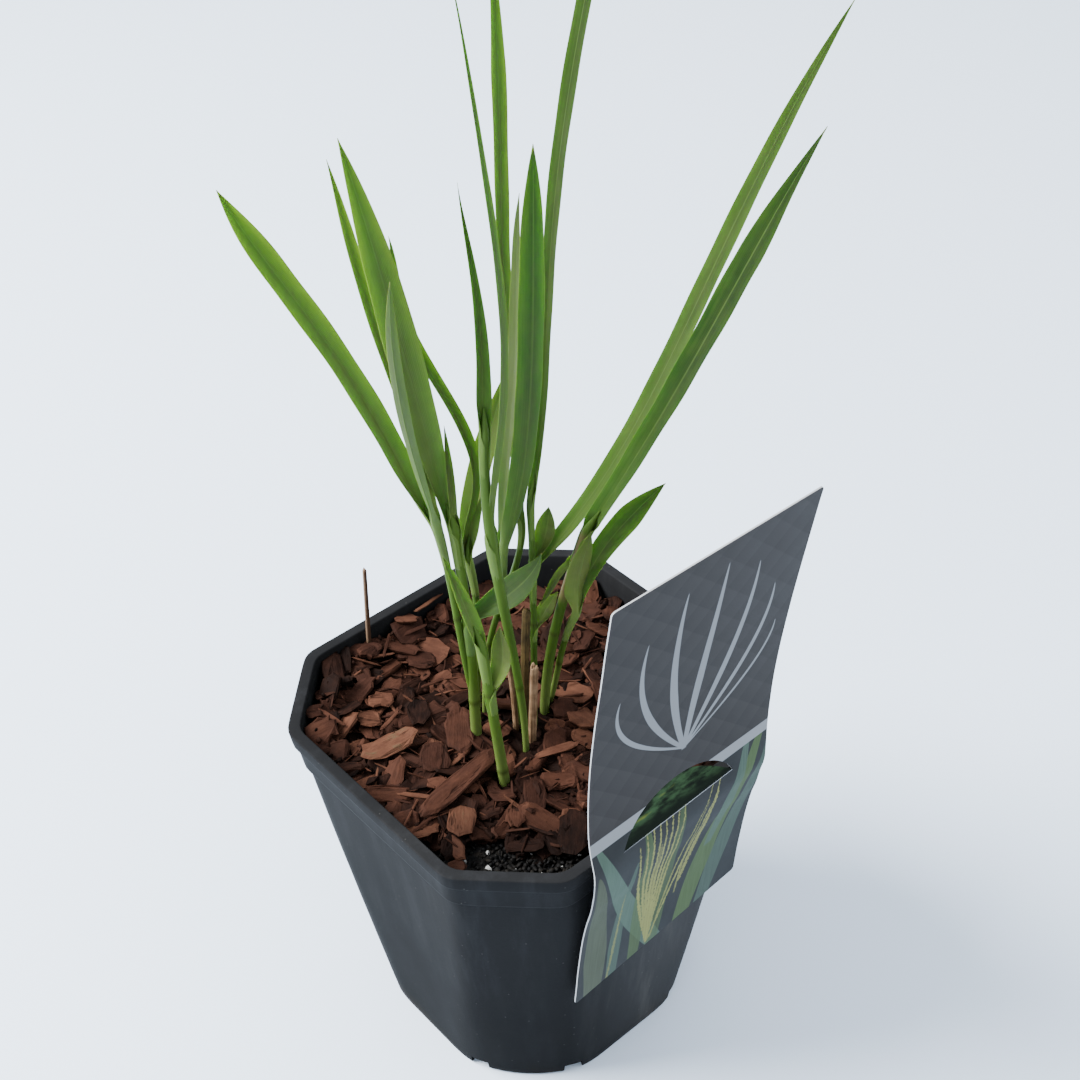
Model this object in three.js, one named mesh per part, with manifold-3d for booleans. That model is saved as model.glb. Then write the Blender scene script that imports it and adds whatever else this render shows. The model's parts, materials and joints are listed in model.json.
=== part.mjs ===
// A young switchgrass in a square nursery pot with chamfered corners.
// Millimetres, +Z up. The origin is the middle of the pot's foot, on the surface that it stands on.
// The pot's flat sides face +X, -X, +Y and -Y, and the care label hangs on the -Y side.
// Headings are compass angles from +X towards +Y, and leans are angles from upright, both in degrees.

import * as THREE from 'three';
import { mergeVertices } from 'three/addons/utils/BufferGeometryUtils.js';
import Module from 'manifold-3d';

const wasm = await Module();
wasm.setup();

// ---------------------------------------------------------------- driving dimensions

const GAP = 0.35;                     // clearance between pieces that touch

const POT_HEIGHT = 141.6;
const POT_WALL = 1.5;
const POT_FLOOR = 2;
const FLAT_AT_FOOT = 52.4;            // axis to a flat side
const FLAT_AT_RIM = 67.7;
const CORNER_AT_FOOT = 56.2;          // axis to the round corner wall
const CORNER_SLOPE = 0.173;
const CHAMFER_AT_RIM = 77.6;          // axis to a corner chamfer
const CHAMFER_SLOPE = 0.136;
const FADE_HEIGHT = 58;               // below it the corners are wholly round
const CORNER_SOFTNESS = 2.4;          // degrees that a blunted corner takes on each side
const FOOT_BEVEL = 1.2;
const LIP_HEIGHT = 6.4;
const LIP_STEP = 2.3;
const BAND_HEIGHT = 10.6;
const BAND_STEP = 1.2;
const STEP_SLOPE = 0.7;
const RIM_BEVEL = 0.6;
const FLANGE_WIDTH = 4.2;

const DRAIN_WIDTH = 7;
const DRAIN_HEIGHT = 5;
const DRAIN_DEPTH = 9;
const DRAIN_ANGLES = [-27, 27];       // from the middle of each flat side

const MIX_TOP = 125;
const BED_TOP = 127.2;                // top of the closed bark layer that the chips lie in
const SURFACE = 130;                  // level at which the stems leave the mulch
const STEM_DEPTH = 20;                // how far the stems stand in the mix
const HOLE_ABOVE = 12;                // how far a stem's hole is kept clear above the surface

const HEAP_REACH = 13;                // how far a heap of mulch runs in from its wall
const HEAP_STEP = 8;                  // spacing of the levels that shape the heaped bed
const LEFT_CORNER_HEAP = 9.5;
const BACK_HEAP = [4, 9.5];           // at the right and at the left end of the back wall
const RIGHT_HEAP = 5;
const NEAR_HEAP = 3;

const CHIP_SEED = 20260;
const CHIP_SPACING = 11.3;
const CHIP_LENGTH = [9, 19];
const CHIP_ASPECT = [0.42, 0.75];
const CHIP_THICKNESS = [1.8, 3.6];
const CHIP_SINK = [0.2, 1];           // how deep a chip's underside lies in the bed
const CHIP_TILT = 24;
const CHIP_SIDES = 5;
const BARE_FROM = 61;                 // axis to the mix left bare along the front chamfer

const BLADE_THICKNESS = 0.6;
const BLADE_STEPS = 10;
const BLADE_TIP = 0.7;                // width of the blunt end
const FOLD_AT_BASE = 40;              // how far each half is folded up from flat
const FOLD_AT_TIP = 12;
const STEM_SIDES = 8;
const STEM_STEPS = 5;
const TOP_TAPER = 0.6;                // a living stem narrows to this share where its last leaves part
const TOP_REACH = 7;
const JOINT_SWELL = 0.15;
const JOINT_REACH = 1.6;

const LABEL_LEFT = -35;
const LABEL_RIGHT = 45;
const LABEL_THICKNESS = 0.6;
const HANGER_MIDDLE = 3;
const HANGER_WIDTH = 50;
const HANGER_RISE = 15;
const HANGER_STEPS = 8;
const FLAP_TIP = 4;                   // half the least width of the flap's end
const FLAP_ROOM = [54, 17, 10];       // clear space for the flap inside the rim
const FLAP_ROOM_AT = [-65.5, 1];      // its middle: y, and height above the hanger's foot

// ---------------------------------------------------------------- the plant

// One entry for each tiller. lean gives the angles from the root to the end of the stem or leaf, blended
// smoothly; at is the distance up the stem; turn rolls a blade about its own midrib; base is the share of
// its width where it leaves the stem; peak is where along it it is widest, and taper how late it narrows.
const TILLERS = [
  {
    name: 'tiller_front_left', foot: [-22.5, -14.7], heading: 140, lean: [4, 5, 4], length: 61,
    radius: [1.9, 1.5], joints: [4, 40],
    leaves: [
      { at: 61, heading: 150, lean: [11.5, 15.8, 15.1], length: 40,
        width: 6.1, turn: -45, base: 0.6, peak: 0.2, taper: 2.2 },
      { at: 41, heading: 10, lean: [73, -22, 2], length: 26,
        width: 7.2, turn: 10, base: 0.45, peak: 0.53, taper: 1.8 },
    ],
  },
  {
    name: 'tiller_left', foot: [-16.9, 6.6], heading: 140, lean: [-1, 1, 4], length: 93,
    radius: [1.9, 1.7], joints: [17],
    leaves: [
      { at: 93, heading: 115, lean: [13, 7.1, 15], length: 130,
        width: 10.6, turn: -40, base: 0.2, peak: 0.49, taper: 2.2 },
      { at: 93, heading: 60, lean: [-5.5, 12.6, 20.9], length: 36,
        width: 3.7, turn: 40, base: 0.6, peak: 0.33, taper: 2.2 },
      { at: 55, heading: -38, lean: [60.8, 57.1, 15], length: 37,
        width: 10.1, turn: 40, base: 0.54, peak: 0.55, taper: 1.3 },
    ],
    shoots: [
      {
        at: 17, heading: 150, lean: [8, 0, 9], length: 78, radius: [1, 1.3], joints: [39],
        leaves: [
          { at: 78, heading: 125, lean: [25.3, 10.9, 45.2, 25.4], length: 124,
            width: 8.6, turn: -25, base: 0.89, peak: 0.77, taper: 2.1 },
          { at: 78, heading: 190, lean: [13.9, 12.6, -8.1], length: 94,
            width: 4.6, turn: 15, base: 0.36, peak: 0.63, taper: 2.7 },
          { at: 78, heading: 90, lean: [-0.8, 52.4, 3.4, 20.5], length: 118,
            width: 4.6, turn: 5, base: 0.34, peak: 0.66, taper: 2.1 },
        ],
      },
    ],
  },
  {
    name: 'tiller_shaded', foot: [-9, 15.6], heading: -65, lean: [2.6, 10.5, -12.4], length: 71.1,
    radius: [1.1, 1.2], joints: [20],
    leaves: [
      { at: 71.1, heading: -28, lean: [7.5, 2, 31.8, 7.9], length: 69.6,
        width: 7.3, turn: 55, base: 0.59, peak: 0.33, taper: 4.1 },
      { at: 71.1, heading: 112, lean: [13.2, -71.4, 25.8, 118.7, -42.6, 11.5], length: 119.5,
        width: 4.3, turn: -10, base: 0.89, peak: 0.63, taper: 3.5 },
    ],
  },
  {
    name: 'tiller_middle', foot: [-7.2, -8.4], heading: 150, lean: [0, 15, -5], length: 134,
    radius: [1.1, 1.9], joints: [28],
    leaves: [
      { at: 134, heading: 140, lean: [0.6, -8.6, 13.8, 3.5], length: 81.7,
        width: 5.1, turn: -60, base: 0.51, peak: 0.2, taper: 1.1 },
      { at: 93, heading: 110, lean: [0.7, -33.9, 30.3, -4.7, 12], length: 182.3,
        width: 3.3, turn: -15, base: 0.67, peak: 0.22, taper: 2 },
    ],
  },
  {
    name: 'tiller_inner_left', foot: [-0.1, 3.5], heading: 140, lean: [0, 10, -5], length: 78,
    radius: [1.1, 1.2], joints: [76],
    leaves: [
      { at: 78, heading: -80, lean: [19.8, 4, 1.5, 2.7], length: 147.4,
        width: 8.4, turn: -25, base: 0.67, peak: 0.46, taper: 4.3 },
      { at: 78, heading: -30, lean: [-1.8, 19.5, -6.6, 6.7], length: 125,
        width: 4.9, turn: 30, base: 0.67, peak: 0.57, taper: 3 },
    ],
  },
  {
    name: 'tiller_inner_right', foot: [-5.1, 15.9], heading: -54, lean: [2.4, 1.8, 45.5, -10.4],
    length: 91.9, radius: [1.1, 1.1], joints: [30],
    leaves: [
      { at: 91.9, heading: 80, lean: [3.2, 5.8, -13.9, 8.2], length: 186.7,
        width: 4.6, turn: 0, base: 0.58, peak: 0.79, taper: 1.2 },
    ],
  },
  {
    name: 'tiller_centre_right', foot: [3.1, -0.8], heading: 140, lean: [-2, -1, 0], length: 97,
    radius: [1.2, 1], joints: [45],
    leaves: [
      { at: 97, heading: 10, lean: [21, -19.9, 35.8, 14.9], length: 197.2,
        width: 5.2, turn: 0, base: 0.46, peak: 0.71, taper: 2.4 },
      { at: 72, heading: 0, lean: [48.8, 17.2, 2.6], length: 20.4,
        width: 7.2, turn: 20, base: 0.55, peak: 0.57, taper: 1.7 },
      { at: 70, heading: -8, lean: [59.9, 17, 30, 39.5], length: 201,
        width: 6.5, turn: 20, base: 0.78, peak: 0.48, taper: 2.6 },
      { at: 43, heading: 0, lean: [49.8, 44.5, 57.9], length: 14.4,
        width: 5.6, turn: 15, base: 0.59, peak: 0.53, taper: 1.5 },
    ],
  },
  {
    name: 'tiller_right', foot: [10.1, 1.4], heading: -50, lean: [3, 13, 17], length: 83,
    radius: [1.7, 1.7], joints: [36],
    leaves: [
      { at: 83, heading: -45, lean: [27.5, 25.9, 18.9, 27.3], length: 154.8,
        width: 8.9, turn: 40, base: 0.65, peak: 0.73, taper: 1.1 },
      { at: 70, heading: 165, lean: [99.8, 173.2, 138.2], length: 21.1,
        width: 3.2, turn: -5, base: 0.58, peak: 0.46, taper: 2.2 },
    ],
  },
  {
    name: 'tiller_low_right', foot: [14.6, 3.1], heading: -80, lean: [14.8, 4.4, 25], length: 48.4,
    radius: [1.1, 1.1], joints: [20],
    leaves: [
      { at: 48.4, heading: -110, lean: [-4.9, 31.3, 22.3], length: 47.4,
        width: 8.6, turn: 0, base: 0.6, peak: 0.2, taper: 2.3 },
      { at: 48.4, heading: -48, lean: [4.8, 35.9, 39.5], length: 64.2,
        width: 8.2, turn: 55, base: 0.3, peak: 0.7, taper: 1.5 },
    ],
  },
];

// Bare pieces that end square, as they were cut or broke.
const DEAD_CULMS = [
  { name: 'cut_stub', foot: [-2.8, -6.6], heading: -40, lean: [3, 3, 3], length: 33, radius: [1.3, 1.3] },
  {
    name: 'broken_culm', foot: [-0.9, -1.3], heading: 140, lean: [0, -2, -4], length: 53,
    radius: [1.5, 1.4],
  },
  { name: 'dead_sheath', foot: [-2.9, 2], heading: 140, lean: [0, 4, 5], length: 32, radius: [1, 0.9] },
  {
    name: 'dry_stick', foot: [-20.2, 63.6], heading: -39, lean: [2.6], length: 41.4, radius: [0.8, 0.75],
    depth: 1,
  },
];

const COLOURS = {
  pot: 0x2b2e33,
  mix: 0x1c1613,
  bark: 0x6b3a2b,
  leaf: 0x4f7f2f,
  tan: 0xb59a6b,
  brown: 0x6e5236,
  label: 0x55595c,
};

// ---------------------------------------------------------------- small helpers

const UP = new THREE.Vector3(0, 0, 1);
const radians = THREE.MathUtils.degToRad;
const lerp = THREE.MathUtils.lerp;

// Repeatable random numbers from 0 to 1.
function seededRandom(seed) {
  let state = seed;
  return () => {
    state = (state + 0x6d2b79f5) | 0;
    let mixed = Math.imul(state ^ (state >>> 15), 1 | state);
    mixed = (mixed + Math.imul(mixed ^ (mixed >>> 7), 61 | mixed)) ^ mixed;
    return ((mixed ^ (mixed >>> 14)) >>> 0) / 2 ** 32;
  };
}

// A closed geometry as a solid that can be joined and cut.
function toSolid(geometry) {
  const bare = geometry.clone();
  bare.deleteAttribute('normal');
  bare.deleteAttribute('uv');
  const merged = mergeVertices(bare, 1e-4);
  return new wasm.Manifold(new wasm.Mesh({
    numProp: 3,
    vertProperties: new Float32Array(merged.attributes.position.array),
    triVerts: new Uint32Array(merged.index.array),
  }));
}

function toGeometry(solid) {
  const mesh = solid.getMesh();
  const geometry = new THREE.BufferGeometry();
  geometry.setAttribute('position', new THREE.BufferAttribute(mesh.vertProperties, 3));
  geometry.setIndex(new THREE.BufferAttribute(mesh.triVerts, 1));
  geometry.computeVertexNormals();
  return geometry;
}

// A closed skin through sections that have the same number of outline points. Each section has an
// origin, two directions and an outline that runs counter-clockwise about the way to the next one.
function loft(sections) {
  const count = sections[0].outline.length;
  const positions = [];
  for (const { origin, across, over, outline } of sections) {
    for (const point of outline) {
      const vertex = origin.clone().addScaledVector(across, point.x).addScaledVector(over, point.y);
      positions.push(vertex.x, vertex.y, vertex.z);
    }
  }
  const faces = [];
  for (let ring = 0; ring < sections.length - 1; ring += 1) {
    for (let side = 0; side < count; side += 1) {
      const next = (side + 1) % count;
      const here = ring * count;
      const there = here + count;
      faces.push(here + side, here + next, there + next);
      faces.push(here + side, there + next, there + side);
    }
  }
  const last = (sections.length - 1) * count;
  for (const [a, b, c] of THREE.ShapeUtils.triangulateShape(sections[0].outline, [])) faces.push(a, c, b);
  for (const [a, b, c] of THREE.ShapeUtils.triangulateShape(sections.at(-1).outline, [])) {
    faces.push(last + a, last + b, last + c);
  }
  const geometry = new THREE.BufferGeometry();
  geometry.setAttribute('position', new THREE.Float32BufferAttribute(positions, 3));
  geometry.setIndex(faces);
  return geometry;
}

function finishedMesh(name, geometry, colour, roughness) {
  const material = new THREE.MeshStandardMaterial({ color: colour, roughness, metalness: 0 });
  const mesh = new THREE.Mesh(geometry, material);
  mesh.name = name;
  return mesh;
}

// ---------------------------------------------------------------- pot

// The wall's outline at a height, moved outwards by an offset: four flats, four corner chamfers, and
// the cone that the chamfers fade into half way down.
function potOutline(height, offset) {
  const flat = lerp(FLAT_AT_FOOT, FLAT_AT_RIM, height / POT_HEIGHT) + offset;
  const corner = CORNER_AT_FOOT + CORNER_SLOPE * height + offset;
  const chamfer = CHAMFER_AT_RIM - CHAMFER_SLOPE * (POT_HEIGHT - height) + offset;
  const chamferEnd = Math.atan2(chamfer * Math.SQRT2 - flat, flat);
  const flatEnd = THREE.MathUtils.radToDeg(Math.min(Math.acos(flat / corner), chamferEnd));
  const eighth = [0, flatEnd / 2, flatEnd - CORNER_SOFTNESS, flatEnd + CORNER_SOFTNESS, (flatEnd + 48) / 2];
  const reach = (angle) => Math.min(
    flat / Math.cos(radians(angle)),
    chamfer / Math.cos(radians(45 - angle)),
    corner,
  );
  const points = [];
  for (let quarter = 0; quarter < 4; quarter += 1) {
    const forwards = eighth.map((angle) => [angle, angle]);
    const backwards = eighth.slice(1).reverse().map((angle) => [90 - angle, angle]);
    for (const [angle, folded] of [...forwards, [45, 45], ...backwards]) {
      const turned = radians(angle + 90 * quarter);
      points.push(new THREE.Vector2(Math.cos(turned), Math.sin(turned)).multiplyScalar(reach(folded)));
    }
  }
  return points;
}

// A solid stacked from the pot's outlines; levels holds pairs of height and offset.
function potStack(levels) {
  const sections = levels.map(([height, offset]) => ({
    origin: new THREE.Vector3(0, 0, height),
    across: new THREE.Vector3(1, 0, 0),
    over: new THREE.Vector3(0, 1, 0),
    outline: potOutline(height, offset),
  }));
  return toSolid(loft(sections));
}

function buildPot() {
  const lipFoot = POT_HEIGHT - LIP_HEIGHT;
  const bandFoot = lipFoot - BAND_HEIGHT;
  const outside = potStack([
    [0, -FOOT_BEVEL],
    [FOOT_BEVEL, 0],
    [FADE_HEIGHT, 0],
    [bandFoot - STEP_SLOPE, 0],
    [bandFoot, BAND_STEP],
    [lipFoot - STEP_SLOPE, BAND_STEP],
    [lipFoot, LIP_STEP],
    [POT_HEIGHT - RIM_BEVEL, LIP_STEP],
    [POT_HEIGHT, LIP_STEP - RIM_BEVEL],
  ]);
  const inside = potStack([
    [POT_FLOOR, -POT_WALL - FOOT_BEVEL],
    [POT_FLOOR + FOOT_BEVEL, -POT_WALL],
    [FADE_HEIGHT, -POT_WALL],
    [MIX_TOP, -POT_WALL],
    [lipFoot - STEP_SLOPE, -POT_WALL],
    [lipFoot, LIP_STEP - FLANGE_WIDTH],
    [POT_HEIGHT + RIM_BEVEL, LIP_STEP - FLANGE_WIDTH],
  ]);
  let pot = outside.subtract(inside);
  for (let quarter = 0; quarter < 4; quarter += 1) {
    for (const angle of DRAIN_ANGLES) {
      const drain = new THREE.BoxGeometry(DRAIN_DEPTH * 2, DRAIN_WIDTH, DRAIN_HEIGHT * 2);
      drain.translate(CORNER_AT_FOOT, 0, 0);
      drain.rotateZ(radians(angle + 90 * quarter));
      pot = pot.subtract(toSolid(drain));
    }
  }
  return toGeometry(pot);
}

// ---------------------------------------------------------------- stems and leaves

// A stem or midrib that leans over within one upright plane, by angles that change along it.
class LeaningCurve {
  constructor(root, { heading, lean, length }) {
    this.root = root;
    this.heading = new THREE.Vector3(Math.cos(radians(heading)), Math.sin(radians(heading)), 0);
    this.lean = lean;
    this.length = length;
  }

  direction(share) {
    let blended = [...this.lean];
    while (blended.length > 1) {
      blended = blended.slice(1).map((lean, index) => lerp(blended[index], lean, share));
    }
    const angle = radians(blended[0]);
    return this.heading.clone().multiplyScalar(Math.sin(angle)).addScaledVector(UP, Math.cos(angle));
  }

  point(share) {
    const pieces = 24;
    const end = this.root.clone();
    for (let piece = 0; piece < pieces; piece += 1) {
      const middle = ((piece + 0.5) / pieces) * share;
      end.addScaledVector(this.direction(middle), (this.length * share) / pieces);
    }
    return end;
  }

  // Directions across the blade and out of its upper face, rolled about the midrib by turn.
  frame(share, turn = 0) {
    const along = this.direction(share);
    const level = UP.clone().cross(this.heading);
    const across = level.applyAxisAngle(along, radians(turn));
    return { along, across, over: along.clone().cross(across) };
  }
}

function ringOutline(radius, sides) {
  return Array.from({ length: sides }, (_, side) => {
    const angle = (2 * Math.PI * side) / sides;
    return new THREE.Vector2(radius * Math.cos(angle), radius * Math.sin(angle));
  });
}

// A round stem with a swelling at each joint. Its buried part runs straight on below the root.
function stemSolid(curve, { radius, joints = [], leaves = [] }, buried) {
  const tip = leaves.length > 0 ? TOP_TAPER : 1;
  const shares = new Set();
  for (let step = 0; step <= STEM_STEPS; step += 1) shares.add(step / STEM_STEPS);
  shares.add(1 - TOP_REACH / curve.length);
  for (const joint of joints) {
    for (const reach of [-JOINT_REACH, 0, JOINT_REACH]) {
      shares.add(THREE.MathUtils.clamp((joint + reach) / curve.length, 0, 1));
    }
  }
  const sections = [...shares].sort((a, b) => a - b).map((share) => {
    const swollen = joints.some((joint) => Math.abs(joint - share * curve.length) < JOINT_REACH / 2);
    const size = lerp(radius[0], radius[1], share) * (share === 1 ? tip : 1) + (swollen ? JOINT_SWELL : 0);
    const { across, over } = curve.frame(share);
    return { origin: curve.point(share), across, over, outline: ringOutline(size, STEM_SIDES) };
  });
  if (buried > 0) {
    const { along, across, over } = curve.frame(0);
    const origin = curve.root.clone().addScaledVector(along, -buried);
    sections.unshift({ origin, across, over, outline: ringOutline(radius[0], STEM_SIDES) });
  }
  return toSolid(loft(sections));
}

function bladeWidth(share, { width, base, peak, taper }) {
  if (share < peak) {
    const rise = 1 - (1 - share / peak) ** 2;
    return width * lerp(base, 1, rise);
  }
  const fall = ((share - peak) / (1 - peak)) ** taper;
  return Math.max(BLADE_TIP, width * (1 - fall));
}

// A blade folded up along its midrib, centred on its curve.
function bladeSolid(curve, leaf) {
  const sections = [];
  for (let step = 0; step <= BLADE_STEPS; step += 1) {
    const share = step / BLADE_STEPS;
    const fold = radians(lerp(FOLD_AT_BASE, FOLD_AT_TIP, Math.sqrt(share)));
    const half = bladeWidth(share, leaf) / 2;
    const lift = (half * Math.tan(fold)) / 2;
    const skin = BLADE_THICKNESS / 2 / Math.cos(fold);
    const { across, over } = curve.frame(share, leaf.turn);
    const outline = [
      new THREE.Vector2(-half, lift - skin),
      new THREE.Vector2(0, -lift - skin),
      new THREE.Vector2(half, lift - skin),
      new THREE.Vector2(half, lift + skin),
      new THREE.Vector2(0, skin - lift),
      new THREE.Vector2(-half, lift + skin),
    ];
    sections.push({ origin: curve.point(share), across, over, outline });
  }
  return toSolid(loft(sections));
}

// The solids of a stem, its leaves and the shoots that branch from it.
function growShoot(root, shoot, buried) {
  const curve = new LeaningCurve(root, shoot);
  const solids = [stemSolid(curve, shoot, buried)];
  for (const leaf of shoot.leaves ?? []) {
    solids.push(bladeSolid(new LeaningCurve(curve.point(leaf.at / shoot.length), leaf), leaf));
  }
  for (const branch of shoot.shoots ?? []) {
    solids.push(...growShoot(curve.point(branch.at / shoot.length), branch, 0));
  }
  return solids;
}

function footOf(shoot) {
  return new THREE.Vector3(...shoot.foot, SURFACE);
}

// How far a stem stands below the surface; the dry stick only rests in the mulch.
function depthOf({ depth = STEM_DEPTH }) {
  return depth;
}

function buildShoot(shoot) {
  return toGeometry(wasm.Manifold.union(growShoot(footOf(shoot), shoot, depthOf(shoot))));
}

// The plain round hole that a stem stands in.
function stemHole(shoot) {
  const { along } = new LeaningCurve(footOf(shoot), shoot).frame(0);
  const length = depthOf(shoot) + HOLE_ABOVE + GAP;
  const radius = Math.max(...shoot.radius) + 2 * GAP;
  const hole = new THREE.CylinderGeometry(radius, radius, length, STEM_SIDES);
  hole.applyQuaternion(new THREE.Quaternion().setFromUnitVectors(new THREE.Vector3(0, 1, 0), along));
  const middle = footOf(shoot).addScaledVector(along, HOLE_ABOVE - length / 2);
  return toSolid(hole.translate(middle.x, middle.y, middle.z));
}

// ---------------------------------------------------------------- mix and mulch

function buildMix(holes) {
  const mix = potStack([
    [POT_FLOOR + GAP, -POT_WALL - FOOT_BEVEL - GAP],
    [POT_FLOOR + GAP + FOOT_BEVEL, -POT_WALL - GAP],
    [FADE_HEIGHT, -POT_WALL - GAP],
    [MIX_TOP, -POT_WALL - GAP],
  ]);
  return toGeometry(mix.subtract(holes));
}

// One flat angular flake of bark.
function chipSolid(random, x, y) {
  const pick = ([low, high]) => lerp(low, high, random());
  const length = pick(CHIP_LENGTH);
  const breadth = length * pick(CHIP_ASPECT);
  const outline = [];
  for (let side = 0; side < CHIP_SIDES; side += 1) {
    const angle = (2 * Math.PI * (side + pick([-0.25, 0.25]))) / CHIP_SIDES;
    outline.push(new THREE.Vector2((length / 2) * Math.cos(angle), (breadth / 2) * Math.sin(angle)));
  }
  const depth = pick(CHIP_THICKNESS);
  const chip = new THREE.ExtrudeGeometry(new THREE.Shape(outline), { depth, bevelEnabled: false });
  chip.translate(0, 0, -depth / 2);
  chip.rotateX(radians(pick([-CHIP_TILT, CHIP_TILT])));
  chip.rotateY(radians(pick([-CHIP_TILT, CHIP_TILT])));
  chip.rotateZ(pick([0, 2 * Math.PI]));
  return toSolid(chip.translate(x, y, BED_TOP + heapAt(x, y) + depth / 2 - pick(CHIP_SINK)));
}

// How far the mulch is heaped above its bed, against the walls round it.
function heapAt(x, y) {
  const drift = (distance, height) => height * Math.exp(-((distance / HEAP_REACH) ** 2));
  const leftward = THREE.MathUtils.clamp(0.5 - x / FLAT_AT_FOOT, 0, 1);
  return Math.max(
    drift(FLAT_AT_RIM - y, lerp(BACK_HEAP[0], BACK_HEAP[1], leftward)),
    drift(CHAMFER_AT_RIM - (y - x) * Math.SQRT1_2, LEFT_CORNER_HEAP),
    drift(FLAT_AT_RIM - x, RIGHT_HEAP),
    drift(FLAT_AT_RIM + x, NEAR_HEAP),
  );
}

// The closed bed that the chips lie in, as a row of upright slices.
function bedSolid() {
  const steps = Math.ceil(CHAMFER_AT_RIM / HEAP_STEP);
  const ticks = Array.from({ length: 2 * steps + 1 }, (_, index) => (index - steps) * HEAP_STEP);
  const across = new THREE.Vector3(0, 1, 0);
  const sections = ticks.map((x) => {
    const top = ticks.map((y) => new THREE.Vector2(y, BED_TOP + heapAt(x, y))).reverse();
    const foot = [ticks[0], ticks.at(-1)].map((y) => new THREE.Vector2(y, MIX_TOP + GAP));
    return { origin: new THREE.Vector3(x, 0, 0), across, over: UP, outline: [...foot, ...top] };
  });
  return toSolid(loft(sections));
}

function buildMulch(holes) {
  const random = seededRandom(CHIP_SEED);
  const layers = [bedSolid()];
  const rows = Math.floor(FLAT_AT_RIM / CHIP_SPACING);
  for (let row = -rows; row <= rows; row += 1) {
    for (let column = -rows; column <= rows; column += 1) {
      const x = (column + random() - 0.5) * CHIP_SPACING;
      const y = (row + random() - 0.5) * CHIP_SPACING;
      layers.push(chipSolid(random, x, y));
    }
  }
  const inside = potStack([[MIX_TOP + GAP, -POT_WALL - GAP], [POT_HEIGHT, -POT_WALL - GAP * 3]]);
  const bare = new THREE.BoxGeometry(POT_HEIGHT, POT_HEIGHT, POT_HEIGHT);
  bare.translate(BARE_FROM + POT_HEIGHT / 2, 0, MIX_TOP);
  bare.rotateZ(radians(225));
  const mulch = wasm.Manifold.union(layers).intersect(inside).subtract(toSolid(bare)).subtract(holes);
  const [bed] = mulch.decompose().sort((a, b) => b.volume() - a.volume());
  return toGeometry(bed);
}

// ---------------------------------------------------------------- care label

// Stations down the sheet from its top edge: how far out and how high its left and its right edge are.
// It leans out and turns a little above the rim, bears on the lip and follows the tapering wall.
const LABEL_STATIONS = [
  { left: [-81.4, 256.2], right: [-84.4, 258] },
  { left: [-80.5, 250], right: [-83.1, 251] },
  { left: [-79.1, 241], right: [-81.5, 241.5] },
  { left: [-76.9, 225], right: [-78.7, 225] },
  { left: [-74.4, 208], right: [-76, 208] },
  { left: [-72.3, 190], right: [-73.5, 190] },
  { left: [-71.2, 174], right: [-71.8, 174] },
  { left: [-71, 160], right: [-71, 160] },
  { left: [-72.4, 147], right: [-70.8, 147] },
  { left: [-73.6, 141], right: [-70.9, 141] },
  { left: [-73.5, 134], right: [-70.8, 134] },
  { left: [-72.6, 127], right: [-69.2, 127] },
  { left: [-69.7, 114], right: [-66.3, 114] },
  { left: [-67.3, 102], right: [-64.2, 102] },
  { left: [-64.9, 84], right: [-61.9, 84] },
  { left: [-62.8, 63.8], right: [-60.3, 67.4] },
];
const LABEL_AT_RIM = -72.4;
const HANGER_FOOT = POT_HEIGHT + 0.7;

// Stations along the flap from the sheet over the rim and in, level enough to stop the hole.
const FLAP_STATIONS = [
  { left: [-73.1, HANGER_FOOT], right: [-71.4, HANGER_FOOT] },
  { left: [-70, HANGER_FOOT + 0.1], right: [-70, HANGER_FOOT + 0.1] },
  { left: [-66, HANGER_FOOT + 0.3], right: [-66, HANGER_FOOT + 0.3] },
  { left: [-62, HANGER_FOOT], right: [-62, HANGER_FOOT] },
  { left: [-58.4, HANGER_FOOT - 1.1], right: [-58.4, HANGER_FOOT - 1.1] },
];

// Half the hanger's width at a distance up from its straight foot.
function hangerHalf(rise) {
  const radius = (HANGER_WIDTH ** 2 / 4 + HANGER_RISE ** 2) / (2 * HANGER_RISE);
  return Math.sqrt(Math.max(0, radius ** 2 - (radius - HANGER_RISE + rise) ** 2));
}

// A strip of the sheet's thickness through stations whose ends are at leftX and rightX. halfAt says how
// far it reaches to each side of its middle at a distance along it.
function stripSolid(stations, leftX, rightX, halfAt) {
  const rulings = stations.map(({ left, right }) => ({
    start: new THREE.Vector3(leftX, ...left),
    end: new THREE.Vector3(rightX, ...right),
  }));
  const points = rulings.map(({ start, end }) => start.clone().lerp(end, 0.5));
  let travelled = 0;
  const sections = points.map((origin, index) => {
    const before = points[Math.max(index - 1, 0)];
    const after = points[Math.min(index + 1, points.length - 1)];
    travelled += origin.distanceTo(before);
    const along = after.clone().sub(before).normalize();
    const across = rulings[index].end.clone().sub(rulings[index].start).normalize();
    const half = halfAt(travelled);
    const skin = LABEL_THICKNESS / 2;
    const outline = [
      new THREE.Vector2(-half, -skin),
      new THREE.Vector2(half, -skin),
      new THREE.Vector2(half, skin),
      new THREE.Vector2(-half, skin),
    ];
    return { origin, across, over: along.cross(across).normalize(), outline };
  });
  return toSolid(loft(sections));
}

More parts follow.
